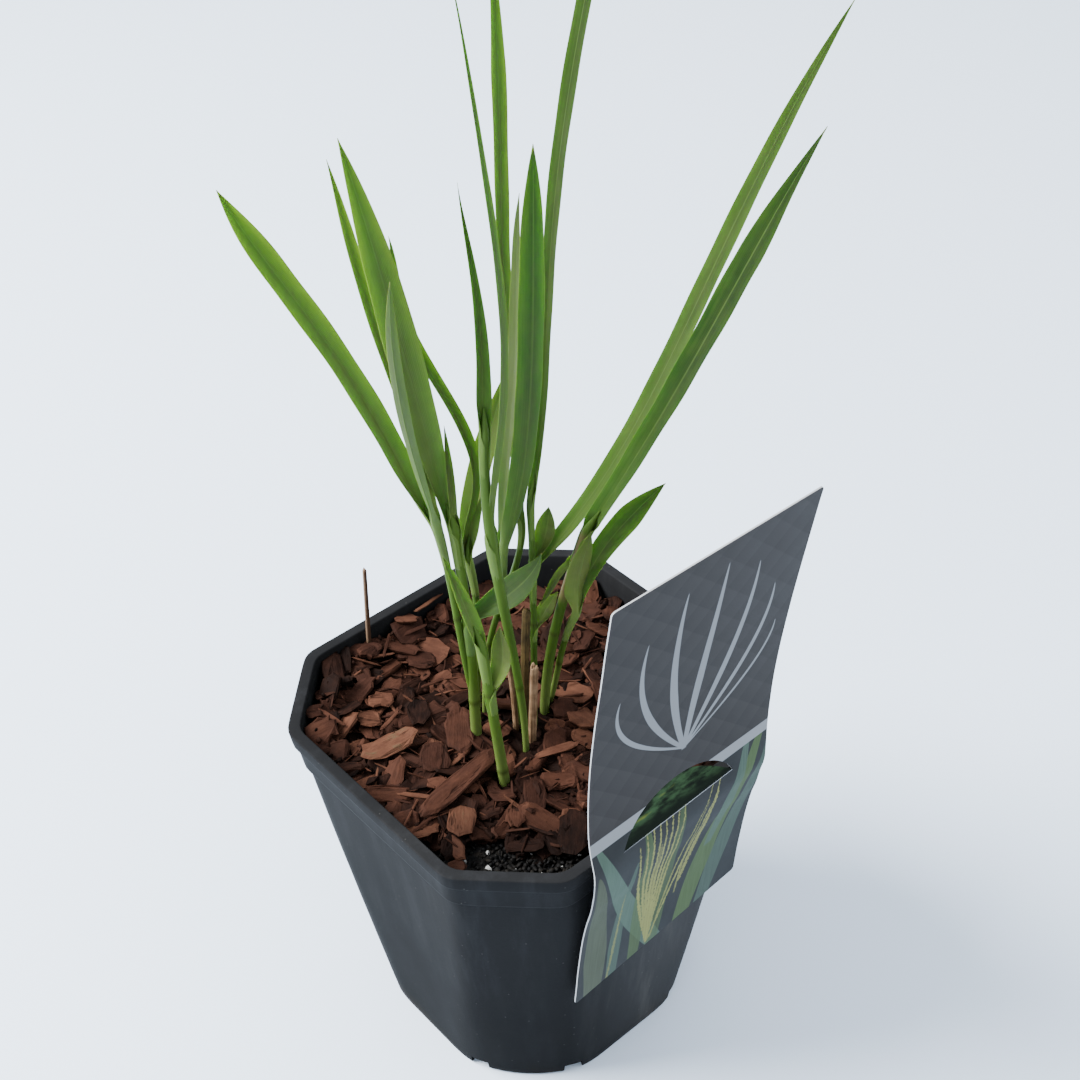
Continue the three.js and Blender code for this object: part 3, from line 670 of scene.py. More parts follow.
@dataclass
class Patch:
    """Points and faces, or points and the edges of lines, on their way to a mesh, in millimetres."""

    points: list[Array] = field(default_factory=list)
    faces: list[tuple[int, ...]] = field(default_factory=list)
    values: dict[str, list[Array]] = field(default_factory=dict)
    sheet: list[Array] = field(default_factory=list)
    count: int = 0

    def extend(
        self,
        points: Array,
        faces: Iterable[Sequence[int]],
        values: Optional[dict[str, Array]] = None,
        sheet: Optional[Array] = None,
    ) -> None:
        """Adds a part.

        Args:
            points: Its points, one row each.
            faces: Its faces or its edges, as numbers of its own points.
            values: Numbers for each point, by attribute name.
            sheet: Two surface coordinates for each point.
        """
        self.points.append(points)
        self.faces.extend(tuple(int(corner) + self.count for corner in face) for face in faces)
        for name, numbers in (values or {}).items():
            self.values.setdefault(name, []).append(np.broadcast_to(numbers, len(points)))
        if sheet is not None:
            self.sheet.append(sheet)
        self.count += len(points)

    def to_object(self, name: str, sheet_name: str = "", smooth: bool = True, lines: bool = False) -> Piece:
        """Makes the mesh object.

        Args:
            name: The object's name.
            sheet_name: The UV map's name, where there is one.
            smooth: Whether faces are shaded smoothly.
            lines: Whether the patch holds edges instead of faces.

        Returns:
            The object, linked to the scene.
        """
        mesh = bpy.data.meshes.new(name)
        edges, faces = (self.faces, []) if lines else ([], self.faces)
        mesh.from_pydata((np.concatenate(self.points) * MM).tolist(), edges, faces)
        for key, parts in self.values.items():
            store(mesh, key, np.concatenate(parts))
        if self.sheet:
            corners = np.zeros(len(mesh.loops), np.int32)
            mesh.loops.foreach_get("vertex_index", corners)
            layer = mesh.uv_layers.new(name=sheet_name)
            layer.data.foreach_set("uv", np.concatenate(self.sheet)[corners].astype(np.float32).ravel())
        mesh.polygons.foreach_set("use_smooth", [smooth] * len(mesh.polygons))
        mesh.update()
        return in_scene(name, mesh)


def in_scene(name: str, data: bpy.types.ID) -> Piece:
    """A new object in the scene."""
    made = bpy.data.objects.new(name, data)
    bpy.context.scene.collection.objects.link(made)
    return made


def store(mesh: bpy.types.Mesh, name: str, numbers: Array) -> None:
    """Stores a number or a vector for each point of a mesh."""
    kind, key = ("FLOAT", "value") if numbers.ndim == 1 else ("FLOAT_VECTOR", "vector")
    layer = mesh.attributes.new(name, kind, "POINT")
    layer.data.foreach_set(key, numbers.astype(np.float32).ravel())


def circle(count: int) -> Array:
    """Even angles round a circle, in radians."""
    return np.linspace(0.0, 2.0 * math.pi, count, endpoint=False)


def loop_faces(rings: int, around: int, caps: bool = True) -> list[tuple[int, ...]]:
    """Faces of a tube of rings, whose points run counter-clockwise about the way to the next ring.

    Args:
        rings: How many rings there are.
        around: How many points a ring has.
        caps: Whether the first and the last ring are closed.

    Returns:
        The faces, as numbers of the points.
    """
    faces: list[tuple[int, ...]] = []
    for ring in range(rings - 1):
        for side in range(around):
            after = (side + 1) % around
            low, high = ring * around, (ring + 1) * around
            faces.append((low + side, low + after, high + after, high + side))
    if caps:
        faces.append(tuple(reversed(range(around))))
        faces.append(tuple(range((rings - 1) * around, rings * around)))
    return faces


def smoothstep(low: float, high: float, value: Array) -> Array:
    """A soft step from 0 at low to 1 at high; low may be the larger."""
    share = np.clip((value - low) / (high - low), 0.0, 1.0)
    return share * share * (3.0 - 2.0 * share)


def unit(vectors: Array) -> Array:
    """Vectors of length 1."""
    return vectors / np.linalg.norm(vectors, axis=-1, keepdims=True)


def frames(points: Array, across: Array) -> tuple[Array, Array, Array]:
    """Directions along a line, across it and over it, from a rough direction across."""
    along = unit(np.gradient(points, axis=0))
    across = unit(across - np.sum(across * along, axis=1)[:, None] * along)
    return along, across, np.cross(along, across)


def soften(points: Array, distances: Array, reach: float = 5.0, passes: int = 10) -> None:
    """Rounds a line off in place, about where its distances are 0."""
    pull = 0.6 * np.exp(-((distances / reach) ** 2))[1:-1, None]
    for _ in range(passes):
        points[1:-1] += ((points[:-2] + points[2:]) / 2.0 - points[1:-1]) * pull


def settle(made: Piece) -> None:
    """Replaces an object's mesh by what its modifiers make of it, and removes them."""
    graph = bpy.context.evaluated_depsgraph_get()
    graph.update()
    result = bpy.data.meshes.new_from_object(
        made.evaluated_get(graph), preserve_all_data_layers=True, depsgraph=graph
    )
    made.modifiers.clear()
    made.data = result


def dress(made: Piece, finishes: Sequence[Finish]) -> None:
    """Gives an object its materials in order."""
    made.data.materials.clear()
    for finish in finishes:
        made.data.materials.append(finish.material())


def hand_over(made: Piece, slot: str, nodes: Sequence[str] = ()) -> None:
    """Fixes a finished piece to the plant's body.

    Args:
        made: The piece.
        slot: Its material slot; not used.
        nodes: The solids that it stands for.
    """
    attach(made, BODY)
    if nodes:
        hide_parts(*nodes)
    LOG.info("%s: %d faces", made.name, len(made.data.polygons))


# ---------------- geometry recipes


class Recipe:
    """A Geometry Nodes tree with named inputs, run on an object and then removed from it."""

    def __init__(self, name: str, inputs: dict[str, str]) -> None:
        """Starts a tree that takes and gives a mesh, and takes a material.

        Args:
            name: The tree's name.
            inputs: The kind of each further input, by its name.
        """
        self.tree = bpy.data.node_groups.new(name, "GeometryNodeTree")
        for way in ("INPUT", "OUTPUT"):
            self.tree.interface.new_socket("Geometry", in_out=way, socket_type="NodeSocketGeometry")
        for key, kind in {**inputs, "Material": "Material"}.items():
            self.tree.interface.new_socket(key, in_out="INPUT", socket_type=f"NodeSocket{kind}")
        self.graph = Graph(self.tree)
        self.entry = self.tree.nodes.new("NodeGroupInput")

    def given(self, key: str) -> Signal:
        """One of the tree's inputs."""
        return Signal(self.graph, self.entry.outputs[key])

    def close(self, geometry: Signal) -> None:
        """Ends the tree: every copy made real, and the material set."""
        real = self.graph.add("GeometryNodeRealizeInstances", {}, {"Geometry": geometry})
        inputs = {"Geometry": real, "Material": self.given("Material")}
        dressed = self.graph.add("GeometryNodeSetMaterial", {}, inputs)
        self.tree.links.new(dressed.socket, self.tree.nodes.new("NodeGroupOutput").inputs[0])

    def run(self, made: Piece, values: Inputs) -> None:
        """Runs the tree on an object.

        Args:
            made: The object, whose mesh the result replaces.
            values: The tree's inputs, by name.
        """
        modifier = made.modifiers.new(self.tree.name, "NODES")
        modifier.node_group = self.tree
        for item in self.tree.interface.items_tree:
            if item.in_out == "INPUT" and item.name in values:
                modifier[item.identifier] = values[item.name]
        settle(made)


def scatter_recipe() -> Recipe:
    """Pieces from a collection, strewn over a surface, each turned, tipped, sized and lifted by chance."""
    numbers = ("Spacing", "Smallest", "Largest", "Tilt", "Lift", "Tone Low", "Tone High")
    inputs = {"Pieces": "Collection", **dict.fromkeys(numbers, "Float"), "Seed": "Int"}
    recipe = Recipe("strewn_pieces", inputs)
    graph, given = recipe.graph, recipe.given
    seed = given("Seed")

    def chance(kind: str, low: object, high: object, turn: int) -> Signal:
        """A random value for each piece; turn tells the draws apart."""
        first = {"FLOAT_VECTOR": 0, "FLOAT": 2}[kind]
        inputs = {first: low, first + 1: high, "Seed": seed + float(turn)}
        return graph.add("FunctionNodeRandomValue", {"data_type": kind}, inputs, 0 if first == 0 else 1)

    spread = {
        "Mesh": given("Geometry"),
        "Distance Min": given("Spacing"),
        "Density Max": 4.0e6,
        "Seed": seed,
    }
    points = graph.add("GeometryNodeDistributePointsOnFaces", {"distribute_method": "POISSON"}, spread)
    lift = graph.join(0.0, 0.0, chance("FLOAT", 0.0, given("Lift"), 1))
    raised = graph.add("GeometryNodeSetPosition", {}, {"Geometry": points, "Offset": lift})
    tilt = given("Tilt")
    low = graph.join(tilt * -1.0, tilt * -1.0, 0.0)
    high = graph.join(tilt, tilt, 2.0 * math.pi)
    small, large = (graph.join(*[given(key)] * 3) for key in ("Smallest", "Largest"))
    pieces = {"Collection": given("Pieces"), "Separate Children": True, "Reset Children": True}
    strewn = graph.add(
        "GeometryNodeInstanceOnPoints",
        {},
        {
            "Points": raised,
            "Instance": graph.add("GeometryNodeCollectionInfo", {}, pieces),
            "Pick Instance": True,
            "Rotation": chance("FLOAT_VECTOR", low, high, 2),
            "Scale": chance("FLOAT_VECTOR", small, large, 3),
        },
    )
    tone = chance("FLOAT", given("Tone Low"), given("Tone High"), 4)
    settings = {"data_type": "FLOAT", "domain": "INSTANCE"}
    stored = {"Geometry": strewn, "Name": "tone", "Value": tone}
    recipe.close(graph.add("GeometryNodeStoreNamedAttribute", settings, stored))
    return recipe


def tube_recipe() -> Recipe:
    """A round tube along each line of a mesh, as thick as the line's stored radius."""
    recipe = Recipe("round_stem", {"Sides": "Int"})
    graph, given = recipe.graph, recipe.given
    line = graph.add("GeometryNodeMeshToCurve", {}, {"Mesh": given("Geometry")})
    radius = graph.add("GeometryNodeInputNamedAttribute", {"data_type": "FLOAT"}, {"Name": "radius"})
    ring = graph.add("GeometryNodeCurvePrimitiveCircle", {}, {"Resolution": given("Sides"), "Radius": 1.0})
    profile = {"Curve": line, "Profile Curve": ring, "Scale": radius, "Fill Caps": True}
    swept = graph.add("GeometryNodeCurveToMesh", {}, profile)
    recipe.close(graph.add("GeometryNodeSetShadeSmooth", {}, {"Geometry": swept}))
    return recipe


# ---------------- stems and blades


@dataclass(frozen=True)
class Bend:
    """A line that leans over within one upright plane, by angles blended smoothly along it."""

    heading: float
    lean: tuple[float, ...]
    length: float

    STEPS = 240

    @property
    def way(self) -> Array:
        """The level direction that the line leans towards."""
        angle = math.radians(self.heading)
        return np.array([math.cos(angle), math.sin(angle), 0.0])

    def directions(self, shares: Array) -> Array:
        """The line's direction at shares of its length."""
        degree = len(self.lean) - 1
        angles = np.zeros_like(shares)
        for order, lean in enumerate(self.lean):
            weight = math.comb(degree, order) * shares**order * (1.0 - shares) ** (degree - order)
            angles = angles + weight * math.radians(lean)
        return np.sin(angles)[:, None] * self.way + np.cos(angles)[:, None] * np.array([0.0, 0.0, 1.0])

    def points(self, root: Array, shares: Array) -> Array:
        """Where the line is at shares of its length, when it starts at root."""
        fine = np.linspace(0.0, 1.0, self.STEPS + 1)
        middles = (fine[:-1] + fine[1:]) / 2.0
        steps = self.directions(middles) * (self.length / self.STEPS)
        track = np.vstack([np.zeros(3), np.cumsum(steps, axis=0)])
        return root + np.stack([np.interp(shares, fine, track[:, axis]) for axis in range(3)], axis=1)


@dataclass(frozen=True)
class Culm(Bend):
    """A stem: its radii at even steps from its foot up, and the heights of its joints."""

    radii: tuple[float, ...] = (1.2, 1.2)
    joints: tuple[float, ...] = ()
    tone: float = 0.6
    papery: Span = (0.0, 0.0)

    SWELL = 0.14
    SWELL_REACH = 0.9
    CLOSING = 5.0

    def girth(self, distances: Array) -> Array:
        """The radius at distances from the foot, with a swelling at each joint."""
        places = np.linspace(0.0, self.length, len(self.radii))
        swells = (np.exp(-(((distances - joint) / self.SWELL_REACH) ** 2)) for joint in self.joints)
        return np.interp(distances, places, self.radii) + self.SWELL * sum(swells)

    def radius(self, distances: Array, crown: float = 0.0) -> Array:
        """The radius along the stem.

        Args:
            distances: Distances from the foot.
            crown: How far the stem runs on into its last leaf, narrowing.

        Returns:
            The radius at each distance.
        """
        size = self.girth(distances)
        if crown:
            return size * np.interp(distances, [self.length, self.length + crown], [1.0, 0.12])
        return size * np.interp(distances, [self.length - self.CLOSING, self.length], [1.0, 0.45])


@dataclass(frozen=True)
class Blade(Bend):
    """A leaf: where it leaves its stem, how wide it grows, where it is widest and how it is rolled."""

    at: float
    width: float
    turn: float
    base: float = 0.5
    peak: float = 0.5
    taper: float = 2.2
    opening: float = 9.0
    fold: float = 16.0
    curl: float = 10.0
    tone: float = 0.6
    bloom: float = 0.0
    sheath: float = 16.0

    ROWS = 84
    SHEATH_ROWS = 17
    ACROSS = (0.0, 0.04, 0.11, 0.24, 0.42, 0.62, 0.82, 0.94, 1.0)
    LOW_WRAP = 2.75
    WRAP = 1.95
    LAYERED = 0.012
    THICK = 0.34
    THINNING = 0.2
    RIB = 0.16
    RIB_REACH = 0.05

    @property
    def sides(self) -> Array:
        """Places across the blade, from -1 at one margin to 1 at the other."""
        return np.array([-value for value in self.ACROSS[:0:-1]] + list(self.ACROSS))

    def widths(self, shares: Array) -> Array:
        """The flat width along the blade."""
        rise = self.base + (1.0 - self.base) * (1.0 - (1.0 - shares / self.peak) ** 2)
        fall = 1.0 - np.clip((shares - self.peak) / (1.0 - self.peak), 0.0, 1.0) ** self.taper
        return self.width * np.clip(np.where(shares < self.peak, rise, fall), 0.02, 1.0)

    def track(self, culm: Culm, root: Array) -> tuple[Array, Array]:
        """The midline from the sheath's foot to the tip.

        Args:
            culm: The stem that the blade grows on.
            root: The stem's foot.

        Returns:
            Distances from where the blade leaves the stem, and the points there.
        """
        below = min(self.sheath, self.at - 2.0)
        on_sheath = np.linspace(-below, 0.0, self.SHEATH_ROWS, endpoint=False)
        distances = np.append(on_sheath, self.length * np.linspace(0.0, 1.0, self.ROWS) ** 1.25)
        start = culm.points(root, np.array([self.at / culm.length]))[0]
        on_stem = culm.points(root, (self.at + np.minimum(distances, 0.0)) / culm.length)
        on_blade = self.points(start, np.maximum(distances, 0.0) / self.length)
        points = np.where((distances < 0.0)[:, None], on_stem, on_blade)
        soften(points, distances)
        return distances, points

    def rings(self, culm: Culm, root: Array) -> tuple[Array, Array]:
        """The blade's cross-sections.

        Args:
            culm: The stem that the blade grows on.
            root: The stem's foot.

        Returns:
            How far along the blade each section lies, as a share, and the sections' points.
        """
        distances, middle = self.track(culm, root)
        shares = np.clip(distances / self.length, 0.0, 1.0)
        level = np.cross([0.0, 0.0, 1.0], self.way)
        turn = math.radians(self.turn)
        across = math.cos(turn) * level + math.sin(turn) * np.cross(self.directions(shares), level)
        _, across, over = frames(middle, across)

        opened = smoothstep(0.0, self.opening, distances)
        hugging = culm.girth(np.clip(self.at + np.minimum(distances, 0.0), 0.0, culm.length))
        hugging = np.where(distances < 0.0, hugging, culm.girth(np.array([self.at]))[0])
        looser = np.interp(distances, [-self.sheath, -self.sheath * 0.4, 0.0], [-0.16, 0.1, 0.22])
        hugging = hugging + self.width * self.LAYERED + looser
        fold = np.radians(self.fold) * opened * (1.0 - 0.6 * shares)
        wrap = np.interp(distances, [-4.0, 0.0], [self.LOW_WRAP, self.WRAP])
        curl = wrap * (1.0 - opened) + np.radians(self.curl) * opened + 1e-3
        chord = (np.sin(fold + curl) - np.sin(fold)) / curl
        half = hugging * wrap * (1.0 - opened) + self.widths(shares) / 2.0 / chord * opened
        depth = half * (np.cos(fold) - np.cos(fold + curl)) / curl
        centre = middle - over * (hugging * (1.0 - opened) + depth / 2.0 * opened)[:, None]

        reach = np.abs(self.sides)[None, :]
        hand = np.sign(self.sides)[None, :]
        angle = fold[:, None] + curl[:, None] * reach
        flat = half[:, None] * (np.sin(angle) - np.sin(fold)[:, None]) / curl[:, None] * hand
        lift = half[:, None] * (np.cos(fold)[:, None] - np.cos(angle)) / curl[:, None]
        ripple = np.sin(distances[:, None] * 0.21 + self.heading + hand) * reach**2
        lift = lift + ripple * (0.05 * half * opened)[:, None]
        thick = (self.THICK - self.THINNING * reach) * (1.0 - 0.5 * shares[:, None])
        rib = self.RIB * np.exp(-((reach / self.RIB_REACH) ** 2)) * (opened * (1.0 - shares))[:, None]

        def skin(offset: Array) -> Array:
            """The points of a face that stands off the blade's middle."""
            x = flat - np.sin(angle) * hand * offset
            y = lift + np.cos(angle) * offset
            return centre[:, None] + across[:, None] * x[..., None] + over[:, None] * y[..., None]

        lower, upper = skin(-thick / 2.0 - rib), skin(thick / 2.0)
        return shares, np.concatenate([lower, upper[:, ::-1]], axis=1)

    def grow(self, patch: Patch, culm: Culm, root: Array) -> None:
        """Adds the blade with its sheath to a patch.

        Args:
            patch: The patch to add to.
            culm: The stem that the blade grows on.
            root: The stem's foot.
        """
        shares, rings = self.rings(culm, root)
        around = rings.shape[1]
        wide = around // 2
        run = self.sides / 2.0 + 0.5
        sheet = np.empty((*rings.shape[:2], 2))
        sheet[..., 0] = np.concatenate([run, run[::-1]])
        sheet[..., 1] = shares[:, None]
        faces = loop_faces(len(rings), around, caps=False)
        last = (len(rings) - 1) * around
        for side in range(wide - 1):
            other = around - 1 - side
            faces.append((side, other, other - 1, side + 1))
            faces.append((last + side, last + side + 1, last + other - 1, last + other))
        values = {"tone": np.array(self.tone), "bloom": np.array(self.bloom)}
        patch.extend(rings.reshape(-1, 3), faces, values, sheet.reshape(-1, 2))


@dataclass(frozen=True)
class Shoot:
    """A stem with its blades, and how far up a carrying stem it branches off."""

    culm: Culm
    blades: tuple[Blade, ...] = ()
    at: float = 0.0


@dataclass(frozen=True)
class Tiller:
    """One leafy stem from the ground, with any shoot that branches from it."""

    node: str
    foot: Spot
    main: Shoot
    side: Optional[Shoot] = None
    depth: float = 14.0

    CROWN = 9.0
    SIDES = 20
    STEP = 0.8
    PALE_FOOT = 34.0
    JOINT_REACH = 1.1
    PAPERY_EDGE = 5.0

    def build(self, tube: Recipe) -> None:
        """Makes the stems and the blades as two pieces.

        Args:
            tube: The recipe that makes stems of lines.
        """
        root = np.array([*self.foot, SURFACE])
        shoots = [(self.main, root, self.depth)]
        if self.side:
            fork = self.main.culm.points(root, np.array([self.side.at / self.main.culm.length]))[0]
            shoots.append((self.side, fork, 0.0))
        lines, blades = Patch(), Patch()
        for shoot, start, buried in shoots:
            last = next((blade for blade in shoot.blades if blade.at > shoot.culm.length - 1.0), None)
            points, values = self._line(shoot.culm, start, buried, last)
            lines.extend(points, [(index, index + 1) for index in range(len(points) - 1)], values)
            for blade in shoot.blades:
                blade.grow(blades, shoot.culm, start)
        stems = lines.to_object(f"{self.node}_stems", lines=True)
        tube.run(stems, {"Sides": self.SIDES, "Material": GrassStem().material()})
        hand_over(stems, "foliage", [self.node])
        leaves = blades.to_object(f"{self.node}_blades", "blade")
        dress(leaves, [GrassBlade()])
        hand_over(leaves, "foliage", [self.node])

    def _line(
        self, culm: Culm, start: Array, buried: float, last: Optional[Blade]
    ) -> tuple[Array, dict[str, Array]]:
        """A stem's centre line, which runs on into its last leaf.

        Args:
            culm: The stem.
            start: Its foot.
            buried: How far it runs on below its foot.
            last: The leaf at its top, if there is one.

        Returns:
            The line's points, and the numbers stored along it by name.
        """
        distances = np.linspace(0.0, culm.length, int(culm.length / self.STEP))
        points = culm.points(start, distances / culm.length)
        crown = self.CROWN if last else 0.0
        if last:
            past = np.linspace(0.0, crown, 13)[1:]
            points = np.vstack([points, last.points(points[-1], past / last.length)])
            distances = np.append(distances, culm.length + past)
            soften(points, distances - culm.length)
        if buried:
            distances = np.append(-buried, distances)
            points = np.vstack([start - culm.directions(np.array([0.0]))[0] * buried, points])
        low, high = culm.papery
        papery = smoothstep(low, low + self.PAPERY_EDGE, distances)
        papery = papery * smoothstep(high, high - self.PAPERY_EDGE, distances)
        joint = sum(np.exp(-(((distances - place) / self.JOINT_REACH) ** 2)) for place in culm.joints)
        values = {
            "radius": culm.radius(np.maximum(distances, 0.0), crown) * MM,
            "tone": np.full(len(points), culm.tone),
            "rooted": smoothstep(self.PALE_FOOT, 0.0, distances) * float(buried > 0.0),
            "joint": joint,
            "papery": papery * float(high > low),
        }
        return points, values


TILLERS = (
    Tiller(
        "tiller_front_left",
        (-22.5, -14.7),
        Shoot(
            Culm(140, (4, 5, 4), 61, (1.9, 1.7, 1.5), (4, 40), tone=0.75),
            (
                Blade(150, (11.5, 15.8, 15.1), 40, 61, 6.1, -45, 0.6, 0.2, 2.2, 7, tone=0.5),
                Blade(10, (73, -22, 2), 26, 41, 7.2, 10, 0.45, 0.53, 1.8, 14, tone=0.46, sheath=10),
            ),
        ),
    ),
    Tiller(
        "tiller_left",
        (-16.9, 6.6),
        Shoot(
            Culm(140, (-1, 1, 4), 93, (1.9, 1.8, 1.7), (17,), tone=0.8),
            (
                Blade(115, (13, 7.1, 15), 130, 93, 10.6, -40, 0.2, 0.49, 2.2, 34, tone=0.6, bloom=0.15),
                Blade(60, (-5.5, 12.6, 20.9), 36, 93, 3.7, 40, 0.6, 0.33, 2.2, 6, tone=0.43),
                Blade(-38, (60.8, 57.1, 15), 37, 55, 10.1, 40, 0.54, 0.55, 1.3, 20, tone=0.1, bloom=0.28),
            ),
        ),
        Shoot(
            Culm(150, (8, 0, 9), 78, (1.0, 1.2, 1.3), (39,), tone=0.75),
            (
                Blade(
                    125, (25.3, 10.9, 45.2, 25.4), 124, 78, 8.6, -25, 0.89, 0.77, 2.1, 32,
                    tone=0.65, bloom=0.08,
                ),
                Blade(190, (13.9, 12.6, -8.1), 94, 78, 4.6, 15, 0.36, 0.63, 2.7, 9, tone=0.48, bloom=0.5),
                Blade(90, (-0.8, 52.4, 3.4, 20.5), 118, 78, 4.6, 5, 0.34, 0.66, 2.1, 9, tone=0.86),
            ),
            at=17,
        ),
    ),
    Tiller(
        "tiller_shaded",
        (-9.0, 15.6),
        Shoot(
            Culm(-65, (2.6, 10.5, -12.4), 71.1, (1.1, 1.2), (20,), tone=0.5),
            (
                Blade(-28, (7.5, 2, 31.8, 7.9), 69.6, 71.1, 7.3, 55, 0.59, 0.33, 4.1, 14, tone=0.68),
                Blade(
                    112, (13.2, -71.4, 25.8, 118.7, -42.6, 11.5), 119.5, 71.1, 4.3, -10, 0.89, 0.63, 3.5,
                    tone=0.48,
                ),
            ),
        ),
    ),
    Tiller(
        "tiller_middle",
        (-7.2, -8.4),
        Shoot(
            Culm(150, (0, 15, -5), 134, (1.1, 1.5, 1.9, 1.4), (28,), tone=0.6),
            (
                Blade(140, (0.6, -8.6, 13.8, 3.5), 81.7, 134, 5.1, -60, 0.51, 0.2, 1.1, 17, tone=0.22),
                Blade(
                    110, (0.7, -33.9, 30.3, -4.7, 12), 182.3, 93, 3.3, -15, 0.67, 0.22, 2, 7, 7,
                    tone=0.39, bloom=0.25,
                ),
            ),
        ),
    ),
    Tiller(
        "tiller_inner_left",
        (-0.1, 3.5),
        Shoot(
            Culm(140, (0, 10, -5), 78, (1.1, 1.2), (76,), tone=0.5),
            (
                Blade(
                    -80, (19.8, 4, 1.5, 2.7), 147.4, 78, 8.4, -25, 0.67, 0.46, 4.3, 22,
                    tone=0.19, bloom=0.15,
                ),
                Blade(-30, (-1.8, 19.5, -6.6, 6.7), 125, 78, 4.9, 30, 0.67, 0.57, 3, 9, tone=0.62, bloom=0.3),
            ),
        ),
    ),
    Tiller(
        "tiller_inner_right",
        (-5.1, 15.9),
        Shoot(
            Culm(-54, (2.4, 1.8, 45.5, -10.4), 91.9, (1.1, 1.1), (30,), tone=0.5),
            (Blade(80, (3.2, 5.8, -13.9, 8.2), 186.7, 91.9, 4.6, 0, 0.58, 0.79, 1.2, 9, tone=0.52),),
        ),
    ),
    Tiller(
        "tiller_centre_right",
        (3.1, -0.8),
        Shoot(
            Culm(140, (-2, -1, 0), 97, (1.2, 1.0), (45,), tone=0.4),
            (
                Blade(10, (21, -19.9, 35.8, 14.9), 197.2, 97, 5.2, 0, 0.46, 0.71, 2.4, 10, tone=0.16),
                Blade(0, (48.8, 17.2, 2.6), 20.4, 72, 7.2, 20, 0.55, 0.57, 1.7, 14, tone=0.5, sheath=8),
                Blade(-8, (59.9, 17, 30, 39.5), 201, 70, 6.5, 20, 0.78, 0.48, 2.6, 25, fold=6, tone=0.22),
                Blade(0, (49.8, 44.5, 57.9), 14.4, 43, 5.6, 15, 0.59, 0.53, 1.5, 8, tone=0.46, sheath=6),
            ),
        ),
    ),
    Tiller(
        "tiller_right",
        (10.1, 1.4),
        Shoot(
            Culm(-50, (3, 13, 17), 83, (1.7, 1.7), (36,), tone=0.5, papery=(50, 84)),
            (
                Blade(-45, (27.5, 25.9, 18.9, 27.3), 154.8, 83, 8.9, 40, 0.65, 0.73, 1.1, 7, tone=0.08),
                Blade(165, (99.8, 173.2, 138.2), 21.1, 70, 3.2, -5, 0.58, 0.46, 2.2, 4, tone=0.43, sheath=6),
            ),
        ),
    ),
    Tiller(
        "tiller_low_right",
        (14.6, 3.1),
        Shoot(
            Culm(-80, (14.8, 4.4, 25), 48.4, (1.1, 1.1), (20,), tone=0.6),
            (
                Blade(-110, (-4.9, 31.3, 22.3), 47.4, 48.4, 8.6, 0, 0.6, 0.2, 2.3, 12, tone=0.88),
                Blade(-48, (4.8, 35.9, 39.5), 64.2, 48.4, 8.2, 55, 0.3, 0.7, 1.5, 12, tone=0.27),
            ),
        ),
    ),
)


@dataclass(frozen=True)
class DeadCulm:
    """A bare dead stem, cut or broken off. Its lit side is the heading that it is paler towards."""

    node: str
    foot: Spot
    culm: Culm
    slot: str
    finish: DryStraw
    bore: float = 0.0
    depth: float = 14.0
    lit_side: Optional[float] = None

    AROUND = 28
    ROWS = 40
    BORE_DEPTH = 5.0

    def build(self) -> None:
        """Makes the stem as one piece, with its torn end."""
        root = np.array([*self.foot, SURFACE])
        distances = np.append(-self.depth, np.linspace(0.0, self.culm.length, self.ROWS))
        points = self.culm.points(root, np.maximum(distances, 0.0) / self.culm.length)
        points[0] = root - self.culm.directions(np.array([0.0]))[0] * self.depth
        along, across, over = frames(points, np.cross([0.0, 0.0, 1.0], self.culm.way))
        angles = circle(self.AROUND)
        ribbed = 1.0 + 0.05 * np.cos(angles * 7.0) + 0.04 * np.sin(angles * 3.0 + 1.0)
        torn = 0.5 * np.sin(angles * 2.0 + 0.6) + 0.35 * np.sin(angles * 5.0)

        def ring(index: int, size: Array, rise: Array) -> Array:
            """One ring of the stem's wall."""
            x, y = np.cos(angles) * size, np.sin(angles) * size
            level_ring = points[index] + x[:, None] * across[index] + y[:, None] * over[index]
            return level_ring + rise[:, None] * along[index]

        sizes = self.culm.girth(np.maximum(distances, 0.0))[:, None] * ribbed
        rings = [ring(index, size, torn * 0.0) for index, size in enumerate(sizes[:-1])]
        rings.append(ring(-1, sizes[-1], torn))
        if self.bore:
            rings.append(ring(-1, np.full(self.AROUND, self.bore), torn))
            rings.append(ring(-1, np.full(self.AROUND, self.bore * 0.9), torn - self.BORE_DEPTH))
        wall = np.stack(rings)
        tone = np.full(wall.shape[:2], 0.5)
        if self.lit_side is not None:
            facing = math.radians(self.lit_side)
            outward = unit((wall - wall.mean(axis=1, keepdims=True))[..., :2])
            tone += 0.5 * np.clip(outward @ (math.cos(facing), math.sin(facing)) * 4.0, -1.0, 1.0)
        patch = Patch()
        patch.extend(wall.reshape(-1, 3), loop_faces(len(rings), self.AROUND), {"tone": tone.ravel()})
        made = patch.to_object(f"{self.node}_piece")
        dress(made, [self.finish])
        hand_over(made, self.slot, [self.node])


TAN = DryStraw("tan_straw", (0.260, 0.165, 0.095), (0.095, 0.052, 0.026))
OLIVE = DryStraw("broken_stem", (0.075, 0.050, 0.017), (0.018, 0.013, 0.005))
TWIG = DryStraw("dry_twig", (0.150, 0.095, 0.060), (0.045, 0.022, 0.013))

